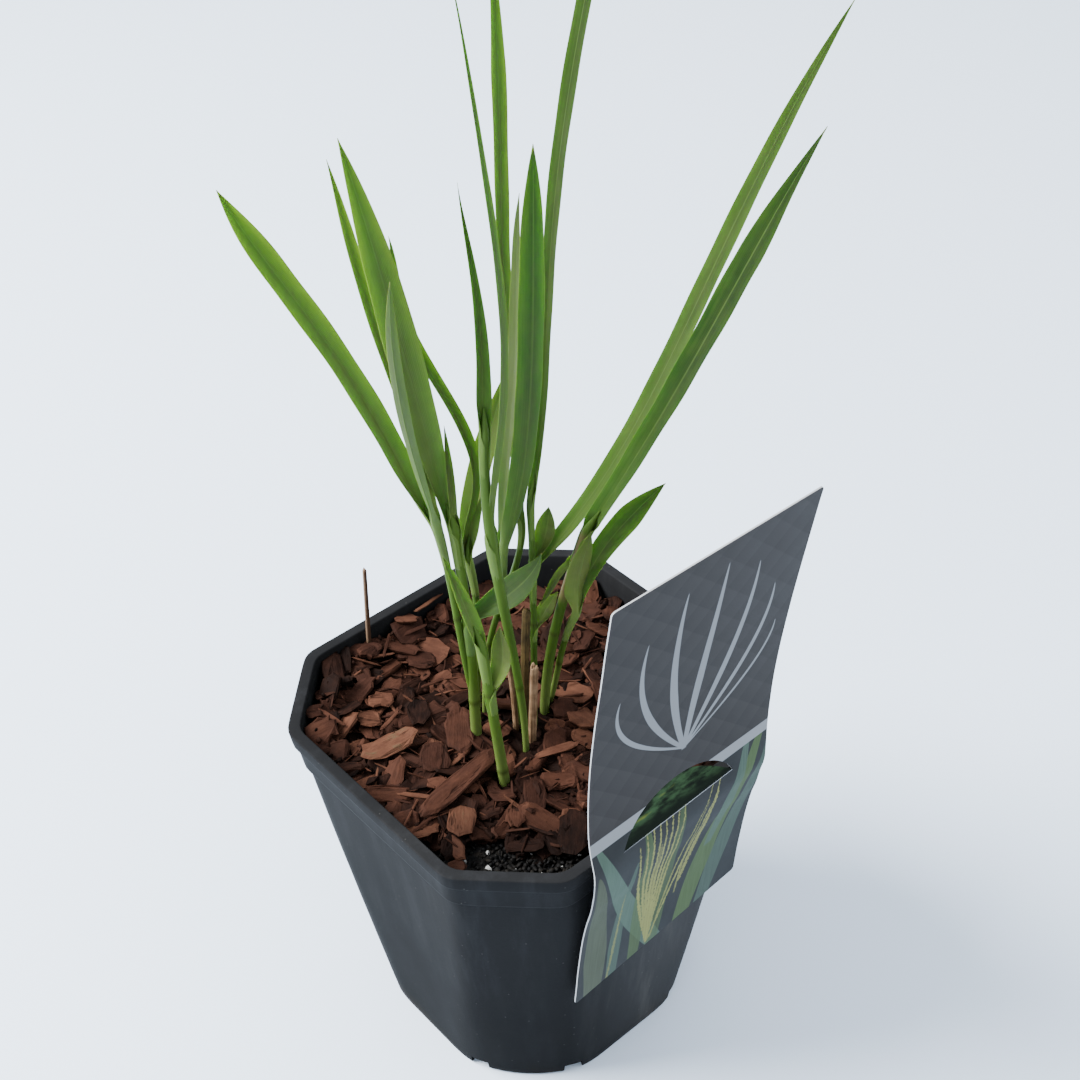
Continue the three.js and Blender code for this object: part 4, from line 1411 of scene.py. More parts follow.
DEAD_CULMS = (
    DeadCulm("cut_stub", (-2.8, -6.6), Culm(-40, (3, 3, 3), 33, (1.4, 1.3)), "straw", TAN, bore=0.75),
    DeadCulm("broken_culm", (-0.9, -1.3), Culm(140, (0, -2, -4), 53, (1.5, 1.4)), "dead_stem", OLIVE),
    DeadCulm("dead_sheath", (-2.9, 2.0), Culm(140, (0, 4, 5), 32, (1.0, 0.8)), "straw", TAN),
    DeadCulm(
        "dry_stick",
        (-20.2, 63.6),
        Culm(-39, (2.6,), 41.4, (0.85, 0.8, 0.7)),
        "dead_stem",
        TWIG,
        lit_side=140.0,
        depth=1.0,
    ),
)

STEM_FEET = tuple(piece.foot for piece in (*TILLERS, *DEAD_CULMS[:3]))


# ---------------- pot


@dataclass(frozen=True)
class PotShape:
    """The wall of the pot: flats, corner chamfers, and the cone that the chamfers fade into."""

    height: float = 141.6
    wall: float = 1.5
    floor: float = 2.0
    flat_foot: float = 52.4
    flat_rim: float = 67.7
    corner_foot: float = 56.2
    corner_slope: float = 0.173
    chamfer_rim: float = 77.6
    chamfer_slope: float = 0.136
    lip: float = 6.4
    lip_step: float = 2.3
    band: float = 10.6
    band_step: float = 1.2
    flange: float = 4.2
    blunt: float = 2.6

    def reach(self, angles: Array, height: Union[float, Array], offset: float) -> Array:
        """Distances from the axis to the wall.

        Args:
            angles: Directions about the axis, in radians.
            height: The height above the foot.
            offset: How far the outline is moved outwards.

        Returns:
            One distance for each direction.
        """
        folded = np.abs((angles + math.pi / 4.0) % (math.pi / 2.0) - math.pi / 4.0)
        flat = self.flat_foot + (self.flat_rim - self.flat_foot) * height / self.height + offset
        corner = np.broadcast_to(self.corner_foot + self.corner_slope * height + offset, folded.shape)
        chamfer = self.chamfer_rim - self.chamfer_slope * (self.height - height) + offset
        sides = (flat / np.cos(folded), chamfer / np.cos(math.pi / 4.0 - folded), corner)
        nearest = sides[0]
        for other in sides[1:]:
            overlap = np.maximum(self.blunt - np.abs(nearest - other), 0.0) / self.blunt
            nearest = np.minimum(nearest, other) - overlap**2 * self.blunt / 4.0
        return nearest

    def ring(self, angles: Array, height: float, offset: float) -> Array:
        """One level of the wall as points."""
        far = self.reach(angles, height, offset)
        return np.stack([np.cos(angles) * far, np.sin(angles) * far, np.full_like(far, height)], axis=1)

    def holds(self, x: float, y: float, height: float, offset: float) -> bool:
        """Whether a point lies within the wall's outline."""
        angle = np.array([math.atan2(y, x)])
        return bool(math.hypot(x, y) < self.reach(angle, height, offset)[0])


SHAPE = PotShape()


@dataclass(frozen=True)
class Pot:
    """The moulded pot: a shell with a stepped lip, a flat rim and drain holes."""

    sides: int = 240
    edge: float = 0.55
    drain: Triple = (18.0, 7.0, 10.0)
    drain_angles: tuple[float, ...] = (-27.0, 27.0)
    outer_rings: int = 26
    inner_rings: int = 24
    sharp: float = 38.0

    def profile(self) -> list[Span]:
        """Heights and offsets from the foot's outside, over the rim, to the floor's inside."""
        shape = SHAPE
        lip_foot = shape.height - shape.lip
        band_foot = lip_foot - shape.band
        levels = [(0.0, -1.3), (0.12, -0.75), (0.45, -0.3), (1.1, 0.0)]
        levels += [(float(height), 0.0) for height in np.linspace(4.0, band_foot - 1.1, self.outer_rings)]
        levels += self._outer_step(band_foot, 0.0, shape.band_step)
        levels += self._outer_step(lip_foot, shape.band_step, shape.lip_step)
        top, out, back = shape.height, shape.lip_step, shape.lip_step - shape.flange
        levels += self._corner(top, out, 1.0)
        levels += self._corner(top, back, -1.0)[::-1]
        levels += [(lip_foot + 1.0, back), (lip_foot - 0.8, -shape.wall)]
        levels += [(float(height), -shape.wall) for height in np.linspace(band_foot, 4.5, self.inner_rings)]
        levels += [(shape.floor + 0.5, -shape.wall - 0.5), (shape.floor, -shape.wall - 1.5)]
        return levels

    @staticmethod
    def _outer_step(height: float, low: float, high: float) -> list[Span]:
        """A small outward step of the wall with soft edges."""
        offsets = ((-0.75, low), (-0.35, low + 0.08), (-0.05, high - 0.25), (0.25, high), (0.9, high + 0.02))
        return [(height + rise, offset) for rise, offset in offsets]

    def _corner(self, height: float, offset: float, side: float) -> list[Span]:
        """The rounded edge of the rim, from its face up to its top.

        Args:
            height: The height of the top.
            offset: The offset of the face.
            side: 1 for the outer face, and -1 for the inner.

        Returns:
            Heights and offsets.
        """
        turns = np.radians([0.0, 25.0, 50.0, 70.0, 90.0])
        return [
            (height - self.edge * (1.0 - math.sin(turn)), offset - side * self.edge * (1.0 - math.cos(turn)))
            for turn in turns
        ]

    def build(self) -> None:
        """Makes the pot as one piece."""
        angles = circle(self.sides)
        rings = [SHAPE.ring(angles, height, offset) for height, offset in self.profile()]
        patch = Patch()
        patch.extend(np.concatenate(rings), loop_faces(len(rings), self.sides))
        made = patch.to_object("nursery_pot")
        cutters = self._drain_cutters()
        cut = made.modifiers.new("drain", "BOOLEAN")
        cut.operation = "DIFFERENCE"
        cut.solver = "EXACT"
        cut.object = cutters
        settle(made)
        bpy.data.objects.remove(cutters)
        made.data.set_sharp_from_angle(angle=math.radians(self.sharp))
        dress(made, [MouldedPot()])
        hand_over(made, "pot_plastic", ["pot"])

    def _drain_cutters(self) -> Piece:
        """The blocks that cut the drain holes."""
        length, width, height = (value / 2.0 for value in self.drain)
        patch = Patch()
        corners = np.array([[x, y, z] for x in (-1, 1) for y in (-1, 1) for z in (-1, 1)], float)
        faces = [(0, 1, 3, 2), (4, 6, 7, 5), (0, 4, 5, 1), (2, 3, 7, 6), (0, 2, 6, 4), (1, 5, 7, 3)]
        for quarter in range(4):
            for offset in self.drain_angles:
                angle = math.radians(offset + 90.0 * quarter)
                block = corners * (length, width, height) + (SHAPE.corner_foot, 0.0, 0.0)
                turn = np.array([[math.cos(angle), math.sin(angle)], [-math.sin(angle), math.cos(angle)]])
                patch.extend(np.column_stack([block[:, :2] @ turn, block[:, 2]]), faces)
        return patch.to_object("drain_blocks", smooth=False)


# ---------------- mix and mulch


class Grit(Enum):
    """What a strewn layer is made of."""

    FLAKE = "flake"
    SPLINTER = "splinter"
    CRUMB = "crumb"


@dataclass(frozen=True)
class Layer:
    """One layer of strewn pieces: their kind, level, spacing, sizes, tilt and tones."""

    name: str
    grit: Grit
    level: float
    spacing: float
    smallest: float
    largest: float
    tilt: float
    lift: float
    tones: Span
    seed: int
    inset: float

    def orders(self) -> Inputs:
        """The layer's inputs to the scatter recipe."""
        return {
            "Spacing": self.spacing * MM,
            "Smallest": self.smallest,
            "Largest": self.largest,
            "Tilt": math.radians(self.tilt),
            "Lift": self.lift * MM,
            "Tone Low": self.tones[0],
            "Tone High": self.tones[1],
            "Seed": self.seed,
        }


@dataclass(frozen=True)
class FlakeRange:
    """How large one kind of bark piece may be: lengths, breadths as shares of them, and thicknesses."""

    kinds: int
    lengths: Span
    breadths: Span
    thicknesses: Span


@dataclass(frozen=True)
class SetFlake:
    """One listed bark piece: its middle, its size, how it lies and its tone."""

    at: Triple
    heading: float
    length: float
    breadth: float
    tone: float
    thick: float = 1.2
    rise: float = 0.0
    roll: float = 0.0
    bow: float = 0.0
    corners: int = 8


SET_FLAKES = (
    SetFlake((-44.1, 20.6, 133.1), -13, 22.0, 9.9, 1.0, thick=1.4, bow=0.02),
    SetFlake((-32.3, 40.6, 132.7), -39, 9.1, 8.7, 0.9, rise=-4, corners=7),
    SetFlake((-41.1, 35.8, 132.9), -36, 9.0, 8.1, 0.86, rise=-7),
    SetFlake((-21.5, 10.3, 132.9), 51, 19.0, 10.4, 0.55, rise=8),
    SetFlake((-26.3, 26.5, 132.9), 52, 14.6, 8.4, 0.1, corners=7),
    SetFlake((-37.8, -9.3, 134.0), 8, 37.0, 8.3, 0.62, thick=1.8, roll=8),
    SetFlake((-46.3, -21.6, 132.3), 51, 15.4, 9.8, 0.97, rise=-5),
    SetFlake((-22.9, -49.9, 132.5), 48, 21.0, 10.4, 0.2, roll=-10),
    SetFlake((-32.6, -32.3, 132.1), 49, 8.6, 7.2, 0.78, corners=7),
    SetFlake((-21.7, -29.3, 132.5), 49, 17.6, 8.3, 0.4, roll=12),
    SetFlake((-9.6, 46.6, 133.1), -37, 10.8, 9.4, 0.45, rise=-5),
    SetFlake((-3.2, 62.4, 138.5), -28, 9.4, 4.5, 0.85, rise=-10),
    SetFlake((8.2, 64.0, 138.5), 9, 15.8, 1.8, 1.0, thick=0.6, rise=-4),
    SetFlake((-20.1, 55.2, 136.1), -16, 9.7, 1.2, 1.0, thick=0.6, rise=-10),
    SetFlake((-36.4, 29.9, 133.4), 12, 10.7, 1.8, 0.85, thick=0.7, rise=6),
    SetFlake((-51.3, -3.3, 133.3), -50, 15.6, 1.9, 0.95, thick=0.7, rise=-4),
    SetFlake((-2.8, -19.6, 132.9), -25, 16.4, 3.7, 0.88, thick=1.0, rise=5),
    SetFlake((-41.9, -3.6, 132.6), -42, 8.4, 5.4, 0.78, corners=7),
    SetFlake((-59.2, -35.0, 131.6), -35, 6.4, 5.4, 0.85, rise=-9, corners=7),
    SetFlake((-35.2, 6.4, 132.3), 51, 13.9, 10.9, 0.4, roll=6),
)


@dataclass(frozen=True)
class Bed:
    """The damp mix, its crumbs, and the bark lying over it, raked up against the walls."""

    mix_foot: float = 2.8
    mix_top: float = 125.6
    clearance: float = 0.3
    bare_from: float = 55.0
    stem_room: float = 5.5
    loose_from: float = 127.0
    heap_reach: float = 13.0
    back_heap: Span = (4.5, 10.5)
    corner_heap: float = 11.0
    right_heap: float = 5.0
    near_heap: float = 4.0
    seed: int = 71
    pitch: float = 2.0
    lump_kinds: int = 6
    lump_radius: float = 0.8
    lump_roughness: float = 0.15
    slack: float = 0.15
    kinds_apart: float = 40.0
    laid_apart: float = 37.0
    laid_from: float = 60.0
    flakes: FlakeRange = FlakeRange(16, (8.5, 13.0), (0.38, 0.80), (0.7, 1.9))
    splinters: FlakeRange = FlakeRange(8, (8.0, 15.0), (0.06, 0.13), (0.4, 0.9))
    layers: tuple[Layer, ...] = (
        # The lower layers take darker tones: painted shade in the gaps between the upper flakes.
        Layer("bark_under", Grit.FLAKE, 126.0, 3.6, 0.50, 0.95, 18.0, 1.2, (0.0, 0.14), 11, 2.0),
        Layer("bark_middle", Grit.FLAKE, 127.6, 5.2, 0.70, 1.30, 26.0, 1.6, (0.0, 0.62), 12, 2.2),
        Layer("bark_fines", Grit.CRUMB, 128.6, 3.0, 0.45, 1.35, 180.0, 1.6, (0.0, 0.5), 14, 1.5),
        Layer("bark_over", Grit.FLAKE, 129.3, 9.0, 0.90, 1.60, 26.0, 1.6, (0.12, 0.95), 13, 3.4),
        Layer("bark_splinters", Grit.SPLINTER, 130.4, 6.4, 0.5, 1.2, 22.0, 1.4, (0.35, 1.0), 15, 5.0),
    )
    crumbs: Layer = Layer("mix_crumbs", Grit.CRUMB, 125.9, 1.25, 0.5, 1.7, 180.0, 1.3, (0.0, 1.0), 31, 1.6)
    crumbs_from: float = 66.0
    beads: Layer = Layer("perlite_beads", Grit.CRUMB, 126.6, 6.5, 0.5, 1.25, 180.0, 1.2, (0.0, 1.0), 32, 2.5)
    beads_from: float = 76.0

    def bare(self, x: float, y: float) -> bool:
        """Whether a point lies in the front corner that the bark leaves bare."""
        wander = 3.0 * math.sin((x - y) * 0.17) + 1.8 * math.sin((x - y) * 0.41 + 1.0)
        return (-x - y) / math.sqrt(2.0) > self.bare_from + wander

    def open_to(self, layer: Layer, x: float, y: float) -> bool:
        """Whether a layer lies over a point: the loose ones keep clear of the stems' feet."""
        if self.bare(x, y):
            return False
        if layer.level < self.loose_from:
            return True
        return all(math.hypot(x - foot[0], y - foot[1]) > self.stem_room for foot in STEM_FEET)

    def heap(self, x: Array, y: Array) -> Array:
        """How far the bark is raked up against the walls.

        Args:
            x: Places along x.
            y: Places along y.

        Returns:
            The rise at each place.
        """
        leftward = np.clip(0.5 - x / SHAPE.flat_foot, 0.0, 1.0)
        low, high = self.back_heap
        drifts = (
            (SHAPE.flat_rim - y, low + (high - low) * leftward),
            (SHAPE.chamfer_rim - (y - x) * math.sqrt(0.5), self.corner_heap),
            (SHAPE.flat_rim - x, self.right_heap),
            (SHAPE.flat_rim + x, self.near_heap),
        )
        heights = [height * np.exp(-((away / self.heap_reach) ** 2)) for away, height in drifts]
        return np.maximum.reduce(heights)

    def build(self, scatter: Recipe) -> None:
        """Makes the mix, its crumbs and beads, and the bark.

        Args:
            scatter: The recipe that strews pieces over a surface.
        """
        self._mix()
        random = np.random.default_rng(self.seed)
        pieces = {
            Grit.FLAKE: self._flakes(Grit.FLAKE, self.flakes, random),
            Grit.SPLINTER: self._flakes(Grit.SPLINTER, self.splinters, random),
            Grit.CRUMB: self._lumps(),
        }

        def strew(layer: Layer, ground: Piece, finish: Finish) -> None:
            """Strews a layer's pieces over its ground."""
            chosen = {"Pieces": pieces[layer.grit], "Material": finish.material()}
            scatter.run(ground, {**chosen, **layer.orders()})

        for layer in self.layers:
            ground = self._ground(layer, lambda x, y: self.open_to(layer, x, y), self.heap)
            strew(layer, ground, PineBark())
            self._trim(ground)
            hand_over(ground, "bark", ["bark_mulch"] if layer is self.layers[0] else [])
        self._set_flakes(random)
        for layer, corner, finish in (
            (self.crumbs, self.crumbs_from, DampMix()),
            (self.beads, self.beads_from, Perlite()),
        ):
            ground = self._ground(layer, lambda x, y: -x - y > corner)
            strew(layer, ground, finish)
            hand_over(ground, "mix")
        for collection in pieces.values():
            remove_collection(collection)

    def _trim(self, made: Piece) -> None:
        """Pushes what stands into the wall back inside it."""
        count = len(made.data.vertices)
        flat = np.empty(count * 3, np.float32)
        made.data.vertices.foreach_get("co", flat)
        points = flat.reshape(-1, 3).astype(float) / MM
        clear = SHAPE.lip_step - SHAPE.flange - self.slack
        angles = np.arctan2(points[:, 1], points[:, 0])
        far = np.hypot(points[:, 0], points[:, 1])
        shares = np.minimum(SHAPE.reach(angles, points[:, 2], clear) / far, 1.0)
        points[:, :2] *= shares[:, None]
        made.data.vertices.foreach_set("co", (points * MM).astype(np.float32).ravel())
        made.data.update()

    def _ground(
        self,
        layer: Layer,
        wanted: Callable[[float, float], bool],
        heap: Optional[Callable[[Array, Array], Array]] = None,
    ) -> Piece:
        """The surface that a layer is strewn on.

        Args:
            layer: The layer, which gives the level and how far it keeps off the wall.
            wanted: Whether a point is strewn.
            heap: How far the surface rises above the level at points.

        Returns:
            A grid of squares inside the pot.
        """
        half = int(SHAPE.flat_rim / self.pitch)
        ticks = [self.pitch * step for step in range(-half, half + 1)]
        offset = -SHAPE.wall - layer.inset
        kept = {
            (i, j)
            for i, x in enumerate(ticks)
            for j, y in enumerate(ticks)
            if SHAPE.holds(x, y, layer.level, offset) and wanted(x, y)
        }
        numbers: dict[tuple[int, int], int] = {}
        faces = []
        for i, j in sorted(kept):
            corners = [(i, j), (i + 1, j), (i + 1, j + 1), (i, j + 1)]
            if all(corner in kept for corner in corners):
                faces.append(tuple(numbers.setdefault(corner, len(numbers)) for corner in corners))
        points = np.array([[ticks[i], ticks[j], layer.level] for i, j in numbers])
        if heap:
            points[:, 2] += heap(points[:, 0], points[:, 1])
        patch = Patch()
        patch.extend(points, faces)
        return patch.to_object(layer.name, smooth=False)

    def _mix(self) -> None:
        """The body of the mix with its lumpy top."""
        random = np.random.default_rng(self.seed)
        around, levels, steps, wave_count = 160, 24, 40, 14
        steepness, wave_height, roughness = 0.16, 0.28, 0.16
        offset = -SHAPE.wall - self.clearance
        heights = np.linspace(self.mix_foot, self.mix_top, levels)
        rings = [SHAPE.ring(circle(around), height, offset) for height in heights]
        rim = rings[-1]
        waves = random.normal(size=(wave_count, 2)) * steepness
        phases = random.uniform(0.0, 2.0 * math.pi, wave_count)
        for share in np.linspace(1.0, 0.02, steps)[1:]:
            ring = rim * (share, share, 1.0)
            swell = sum(np.sin(ring[:, 0] * wx + ring[:, 1] * wy + p) for (wx, wy), p in zip(waves, phases))
            ring[:, 2] += wave_height * swell + random.normal(size=around) * roughness
            rings.append(ring)
        patch = Patch()
        patch.extend(np.concatenate(rings), loop_faces(len(rings), around))
        made = patch.to_object("damp_mix")
        dress(made, [DampMix()])
        hand_over(made, "mix", ["potting_mix"])

    def _lumps(self) -> bpy.types.Collection:
        """Patterns for the fines, crumbs and beads: small uneven lumps."""
        random = np.random.default_rng(self.seed + 5)
        collection = bpy.data.collections.new("lump_kinds")
        rings, around = 5, 8
        turn, rise = np.meshgrid(circle(around), np.radians(np.linspace(-78.0, 78.0, rings)))
        ball = np.stack([np.cos(turn) * np.cos(rise), np.sin(turn) * np.cos(rise), np.sin(rise)], axis=2)
        ball = ball.reshape(-1, 3)
        for kind in range(self.lump_kinds):
            dents = random.normal(size=(len(ball), 1)) * self.lump_roughness
            points = ball * self.lump_radius * (1.0 + dents) * random.uniform(0.7, 1.3, 3)
            patch = Patch()
            patch.extend(points, loop_faces(rings, around))
            adopt(patch.to_object(f"lump_{kind}"), collection)
        return collection

    def _flakes(self, grit: Grit, sizes: FlakeRange, random: np.random.Generator) -> bpy.types.Collection:
        """Patterns for the strewn bark, with their own coordinates stored for the grain.

        Args:
            grit: What they are.
            sizes: How large they may be.
            random: Where the chance comes from.

        Returns:
            A collection that isn't shown.
        """
        collection = bpy.data.collections.new(f"{grit.value}_kinds")
        for kind in range(sizes.kinds):
            length = random.uniform(*sizes.lengths)
            breadth = length * random.uniform(*sizes.breadths)
            corners = int(random.integers(6, 10))
            bow = random.normal() * 0.014
            thick = random.uniform(*sizes.thicknesses)
            points, around = self._flake(random, length, breadth, thick, corners, bow)
            patch = Patch()
            patch.extend(points, loop_faces(len(points) // around, around))
            made = patch.to_object(f"{grit.value}_{kind}", smooth=False)
            store(made.data, "grain", (points + (kind * self.kinds_apart, 0.0, 0.0)) * MM)
            adopt(made, collection)
        return collection

    @staticmethod
    def _flake(
        random: np.random.Generator, length: float, breadth: float, thick: float, corners: int, bow: float
    ) -> tuple[Array, int]:
        """One flat angular flake of bark, lying level.

        Args:
            random: Where the chance comes from.
            length: How long it is.
            breadth: How broad it is.
            thick: How thick it is.
            corners: How many corners its outline has.
            bow: How much it curves along its length.

        Returns:
            Its points, ring by ring, and how many a ring has.
        """
        angles = (np.arange(corners) + random.uniform(-0.28, 0.28, corners)) * 2.0 * math.pi / corners
        round_ends = np.stack([np.cos(angles), np.sin(angles)], axis=1)
        outline = np.sign(round_ends) * np.abs(round_ends) ** 0.75 * (length, breadth) / 2.0
        ragged = []
        for index in range(corners):
            here, after = outline[index], outline[(index + 1) % corners]
            ragged.append(here)
            middle = here + (after - here) * random.uniform(0.35, 0.65)
            ragged.append(middle + random.normal(size=2) * min(0.4, breadth * 0.06))
        edge = np.array(ragged)
        tilt = random.normal(size=2) * 0.05
        rings = []
        for height, inset, wobble in ((-0.5, 0.9, 0.05), (0.25, 1.0, 0.10), (0.5, 0.86, 0.14)):
            flat = edge * inset
            rise = height * thick + flat @ tilt * (height > 0.0) + flat[:, 0] ** 2 * bow
            rings.append(np.column_stack([flat, rise + random.normal(size=len(flat)) * wobble * thick]))
        return np.concatenate(rings), len(edge)

    def _set_flakes(self, random: np.random.Generator) -> None:
        """Makes the listed pieces.

        Args:
            random: Where the chance comes from.
        """
        patch = Patch()
        grains = []
        for order, flake in enumerate(SET_FLAKES):
            size = (flake.length, flake.breadth, flake.thick)
            points, around = self._flake(random, *size, flake.corners, flake.bow)
            grains.append(points + (order * self.laid_apart, self.laid_from, 0.0))
            turned = Matrix.Identity(3)
            for angle, axis in ((flake.heading, "Z"), (-flake.rise, "Y"), (flake.roll, "X")):
                turned = turned @ Matrix.Rotation(math.radians(angle), 3, axis)
            placed = points @ np.array(turned).T + flake.at
            faces = loop_faces(len(points) // around, around)
            patch.extend(placed, faces, {"tone": np.full(len(points), flake.tone)})
        made = patch.to_object("bark_laid", smooth=False)
        store(made.data, "grain", np.concatenate(grains) * MM)
        self._trim(made)
        dress(made, [PineBark()])
        hand_over(made, "bark")


def adopt(made: Piece, collection: bpy.types.Collection) -> None:
    """Moves an object out of the scene and into a collection that isn't shown."""
    bpy.context.scene.collection.objects.unlink(made)
    collection.objects.link(made)


def remove_collection(collection: bpy.types.Collection) -> None:
    """Removes a collection of patterns with its objects."""
    for made in list(collection.objects):
        bpy.data.objects.remove(made)
    bpy.data.collections.remove(collection)


# ---------------- care label


PALE_INK: Colour = (0.170, 0.180, 0.190)
BLUE_GREEN: Colour = (0.055, 0.085, 0.066)
MID_GREEN: Colour = (0.052, 0.080, 0.035)
SAGE: Colour = (0.056, 0.068, 0.044)
PLUME: Colour = (0.170, 0.175, 0.060)

SPRAY_FOOT = (40, 104)
SPRAY_TOPS = ((9, 148), (17, 168), (30, 181), (45, 184), (59, 176), (69, 160), (74, 140))
SPRAY_BOWS = (-10.0, -8.0, -4.0, 1.0, 6.0, 9.0, 9.0)
SPRAY_WIDTHS = (3.0, 3.6, 4.2, 4.2, 3.8, 3.4, 2.6)
SPRAY = tuple(
    Stroke(SPRAY_FOOT, *shape, PALE_INK) for shape in zip(SPRAY_TOPS, SPRAY_BOWS, SPRAY_WIDTHS)
)

PLUME_FOOT = (34.0, 2.0)
PLUME_TOPS = ((20, 74), (23, 79), (26, 81), (29, 83), (32, 82), (35, 83), (38, 82), (41, 80))
LOOSE_PLUMES = (
    Stroke((35, 3), (58, 79), 1.5, 1.5, PLUME, ragged=1.8),
    Stroke((36, 3), (55, 80), -1.0, 1.3, PLUME, ragged=1.8, strength=0.8),
    Stroke((47, 26), (57, 74), 1.0, 3.4, PLUME, ragged=3.0, strength=0.9),
    Stroke((46, 20), (53, 70), -1.0, 1.4, PLUME, ragged=1.8, strength=0.7),
    Stroke((14, -6), (18, 48), 1.0, 1.6, PLUME, ragged=1.8, strength=0.55),
)

GRASSES = (
    Stroke((8, -12), (2, 74), 2.0, 14.0, SAGE, strength=0.8),
    Stroke((17, -12), (20, 66), -1.0, 8.0, BLUE_GREEN, strength=0.7),
    Stroke((44, -12), (2, 88), -3.0, 13.0, BLUE_GREEN),
    Stroke((27, -12), (22, 88), 3.0, 9.0, MID_GREEN, strength=0.75),
    Stroke((36, -12), (40, 84), 1.0, 10.0, MID_GREEN, strength=0.6),
    Stroke((60, -12), (84, 86), -1.0, 13.0, BLUE_GREEN, strength=0.7),
    Stroke((50, -12), (79, 92), -3.0, 15.0, MID_GREEN),
    Stroke((60, 36), (71, 92), 1.0, 8.0, BLUE_GREEN, strength=0.9),
    Stroke(PLUME_FOOT, (31, 66), 0.0, 5.0, PLUME, ragged=4.0, strength=0.5),
    *(Stroke(PLUME_FOOT, top, (top[0] - 31.0) * 0.12, 1.7, PLUME, ragged=2.0) for top in PLUME_TOPS),
    *LOOSE_PLUMES,
)


@dataclass(frozen=True)
class CareLabel:
    """A printed plastic sheet that hangs on the rim by a flap folded back out of it.

    Each station along the sheet, or along the flap, gives its left edge's y and height and its right edge's.
    """

    left: float = -35.0
    right: float = 45.0
    thickness: float = 0.5
    hanger_middle: float = 3.0
    hanger_width: float = 50.0
    hanger_rise: float = 15.0
    fold_height: float = 142.4
    corner: float = 1.4
    pitch: float = 3.0
    arc_points: int = 40
    corner_points: int = 7
    room: float = 0.8
    sharp: float = 50.0
    stations: tuple[Station, ...] = (
        (-62.8, 63.8, -60.3, 67.4),
        (-64.0, 75.0, -61.1, 76.0),
        (-64.9, 84.0, -61.9, 84.0),
        (-67.3, 102.0, -64.2, 102.0),
        (-69.7, 114.0, -66.3, 114.0),
        (-71.3, 120.0, -67.9, 120.0),
        (-72.6, 127.0, -69.2, 127.0),
        (-73.5, 134.0, -70.8, 134.0),
        (-73.6, 141.0, -70.9, 141.0),
        (-72.4, 147.0, -70.8, 147.0),
        (-71.4, 153.0, -70.8, 153.0),
        (-71.0, 160.0, -71.0, 160.0),
        (-71.2, 174.0, -71.8, 174.0),
        (-72.3, 190.0, -73.5, 190.0),
        (-74.4, 208.0, -76.0, 208.0),
        (-76.9, 225.0, -78.7, 225.0),
        (-79.1, 241.0, -81.5, 241.5),
        (-80.5, 250.0, -83.1, 251.0),
        (-81.4, 256.2, -84.4, 258.0),
    )
    flap_stations: tuple[Station, ...] = (
        (-73.4, 142.2, -71.2, 142.2),
        (-72.4, 142.5, -70.8, 142.5),
        (-70.0, 142.6, -69.6, 142.6),
        (-66.0, 142.7, -66.0, 142.7),
        (-62.0, 142.5, -62.0, 142.5),
        (-59.8, 142.0, -59.8, 142.0),
        (-57.8, 141.3, -57.8, 141.3),
    )

    PRINT_PLACE = 0
    FLAP_PLACE = 2

    @staticmethod
    def _smooth(path: Sequence[Station]) -> tuple[Array, Array]:
        """A smooth run through stations along the sheet.

        Args:
            path: The stations in order.

        Returns:
            Distances along the run's middle, and the stations there.
        """
        knots = np.array(path, float)
        padded = np.vstack([2.0 * knots[0] - knots[1], knots, 2.0 * knots[-1] - knots[-2]])
        run = [knots[0]]
        for index in range(1, len(padded) - 2):
            before, start, end, after = padded[index - 1 : index + 3]
            slope = end - before
            bend = 2.0 * before - 5.0 * start + 4.0 * end - after
            sway = 3.0 * start - before - 3.0 * end + after
            run += [
                0.5 * (2.0 * start + slope * share + bend * share**2 + sway * share**3)
                for share in np.linspace(0.0, 1.0, 13)[1:]
            ]
        points = np.array(run)
        middle = (points[:, :2] + points[:, 2:]) / 2.0
        distances = np.append(0.0, np.cumsum(np.linalg.norm(np.diff(middle, axis=0), axis=1)))
        return distances, points

    def _segment(self, foot: float) -> Array:
        """The outline of the hanger hole in the flat sheet: a chord and an arc above it."""
        half = self.hanger_width / 2.0
        radius = (half**2 + self.hanger_rise**2) / (2.0 * self.hanger_rise)
        sweep = math.asin(half / radius)
        turns = np.linspace(-sweep, sweep, self.arc_points)
        arc = np.stack([np.sin(turns) * radius, np.cos(turns) * radius - (radius - self.hanger_rise)], axis=1)
        return arc + (self.hanger_middle, foot)

    def _tiles(self, outline: Array, hole: Optional[Array]) -> tuple[Array, list[tuple[int, ...]]]:
        """Triangles that fill a flat outline around an optional hole.

        Args:
            outline: The outer edge, counter-clockwise.
            hole: The hole's edge.

        Returns:
            The points and the triangles.
        """
        loops = [outline] if hole is None else [outline, hole]

        def filled(x: float, y: float) -> bool:
            """Whether a point lies on the sheet."""
            return self._inside(outline, x, y) and (hole is None or not self._inside(hole, x, y))

        def clear(x: float, y: float) -> bool:
            """Whether a point lies on the sheet, well off its edges."""
            return filled(x, y) and all(
                np.min(np.linalg.norm(loop - (x, y), axis=1)) > self.room for loop in loops
            )

        low, high = outline.min(axis=0), outline.max(axis=0)
        inner = [
            (x, y)
            for x in np.arange(low[0] + self.pitch, high[0] - 0.5, self.pitch)
            for y in np.arange(low[1] + self.pitch, high[1] - 0.5, self.pitch)
            if clear(x, y)
        ]
        points = [tuple(point) for loop in loops for point in loop] + inner
        edges, offset = [], 0
        for loop in loops:
            edges += [(offset + index, offset + (index + 1) % len(loop)) for index in range(len(loop))]
            offset += len(loop)
        result = delaunay_2d_cdt([Vector(point) for point in points], edges, [], 1, 1e-5)
        flat = np.array([tuple(point) for point in result[0]])
        return flat, [tuple(face) for face in result[2] if filled(*flat[list(face)].mean(axis=0))]

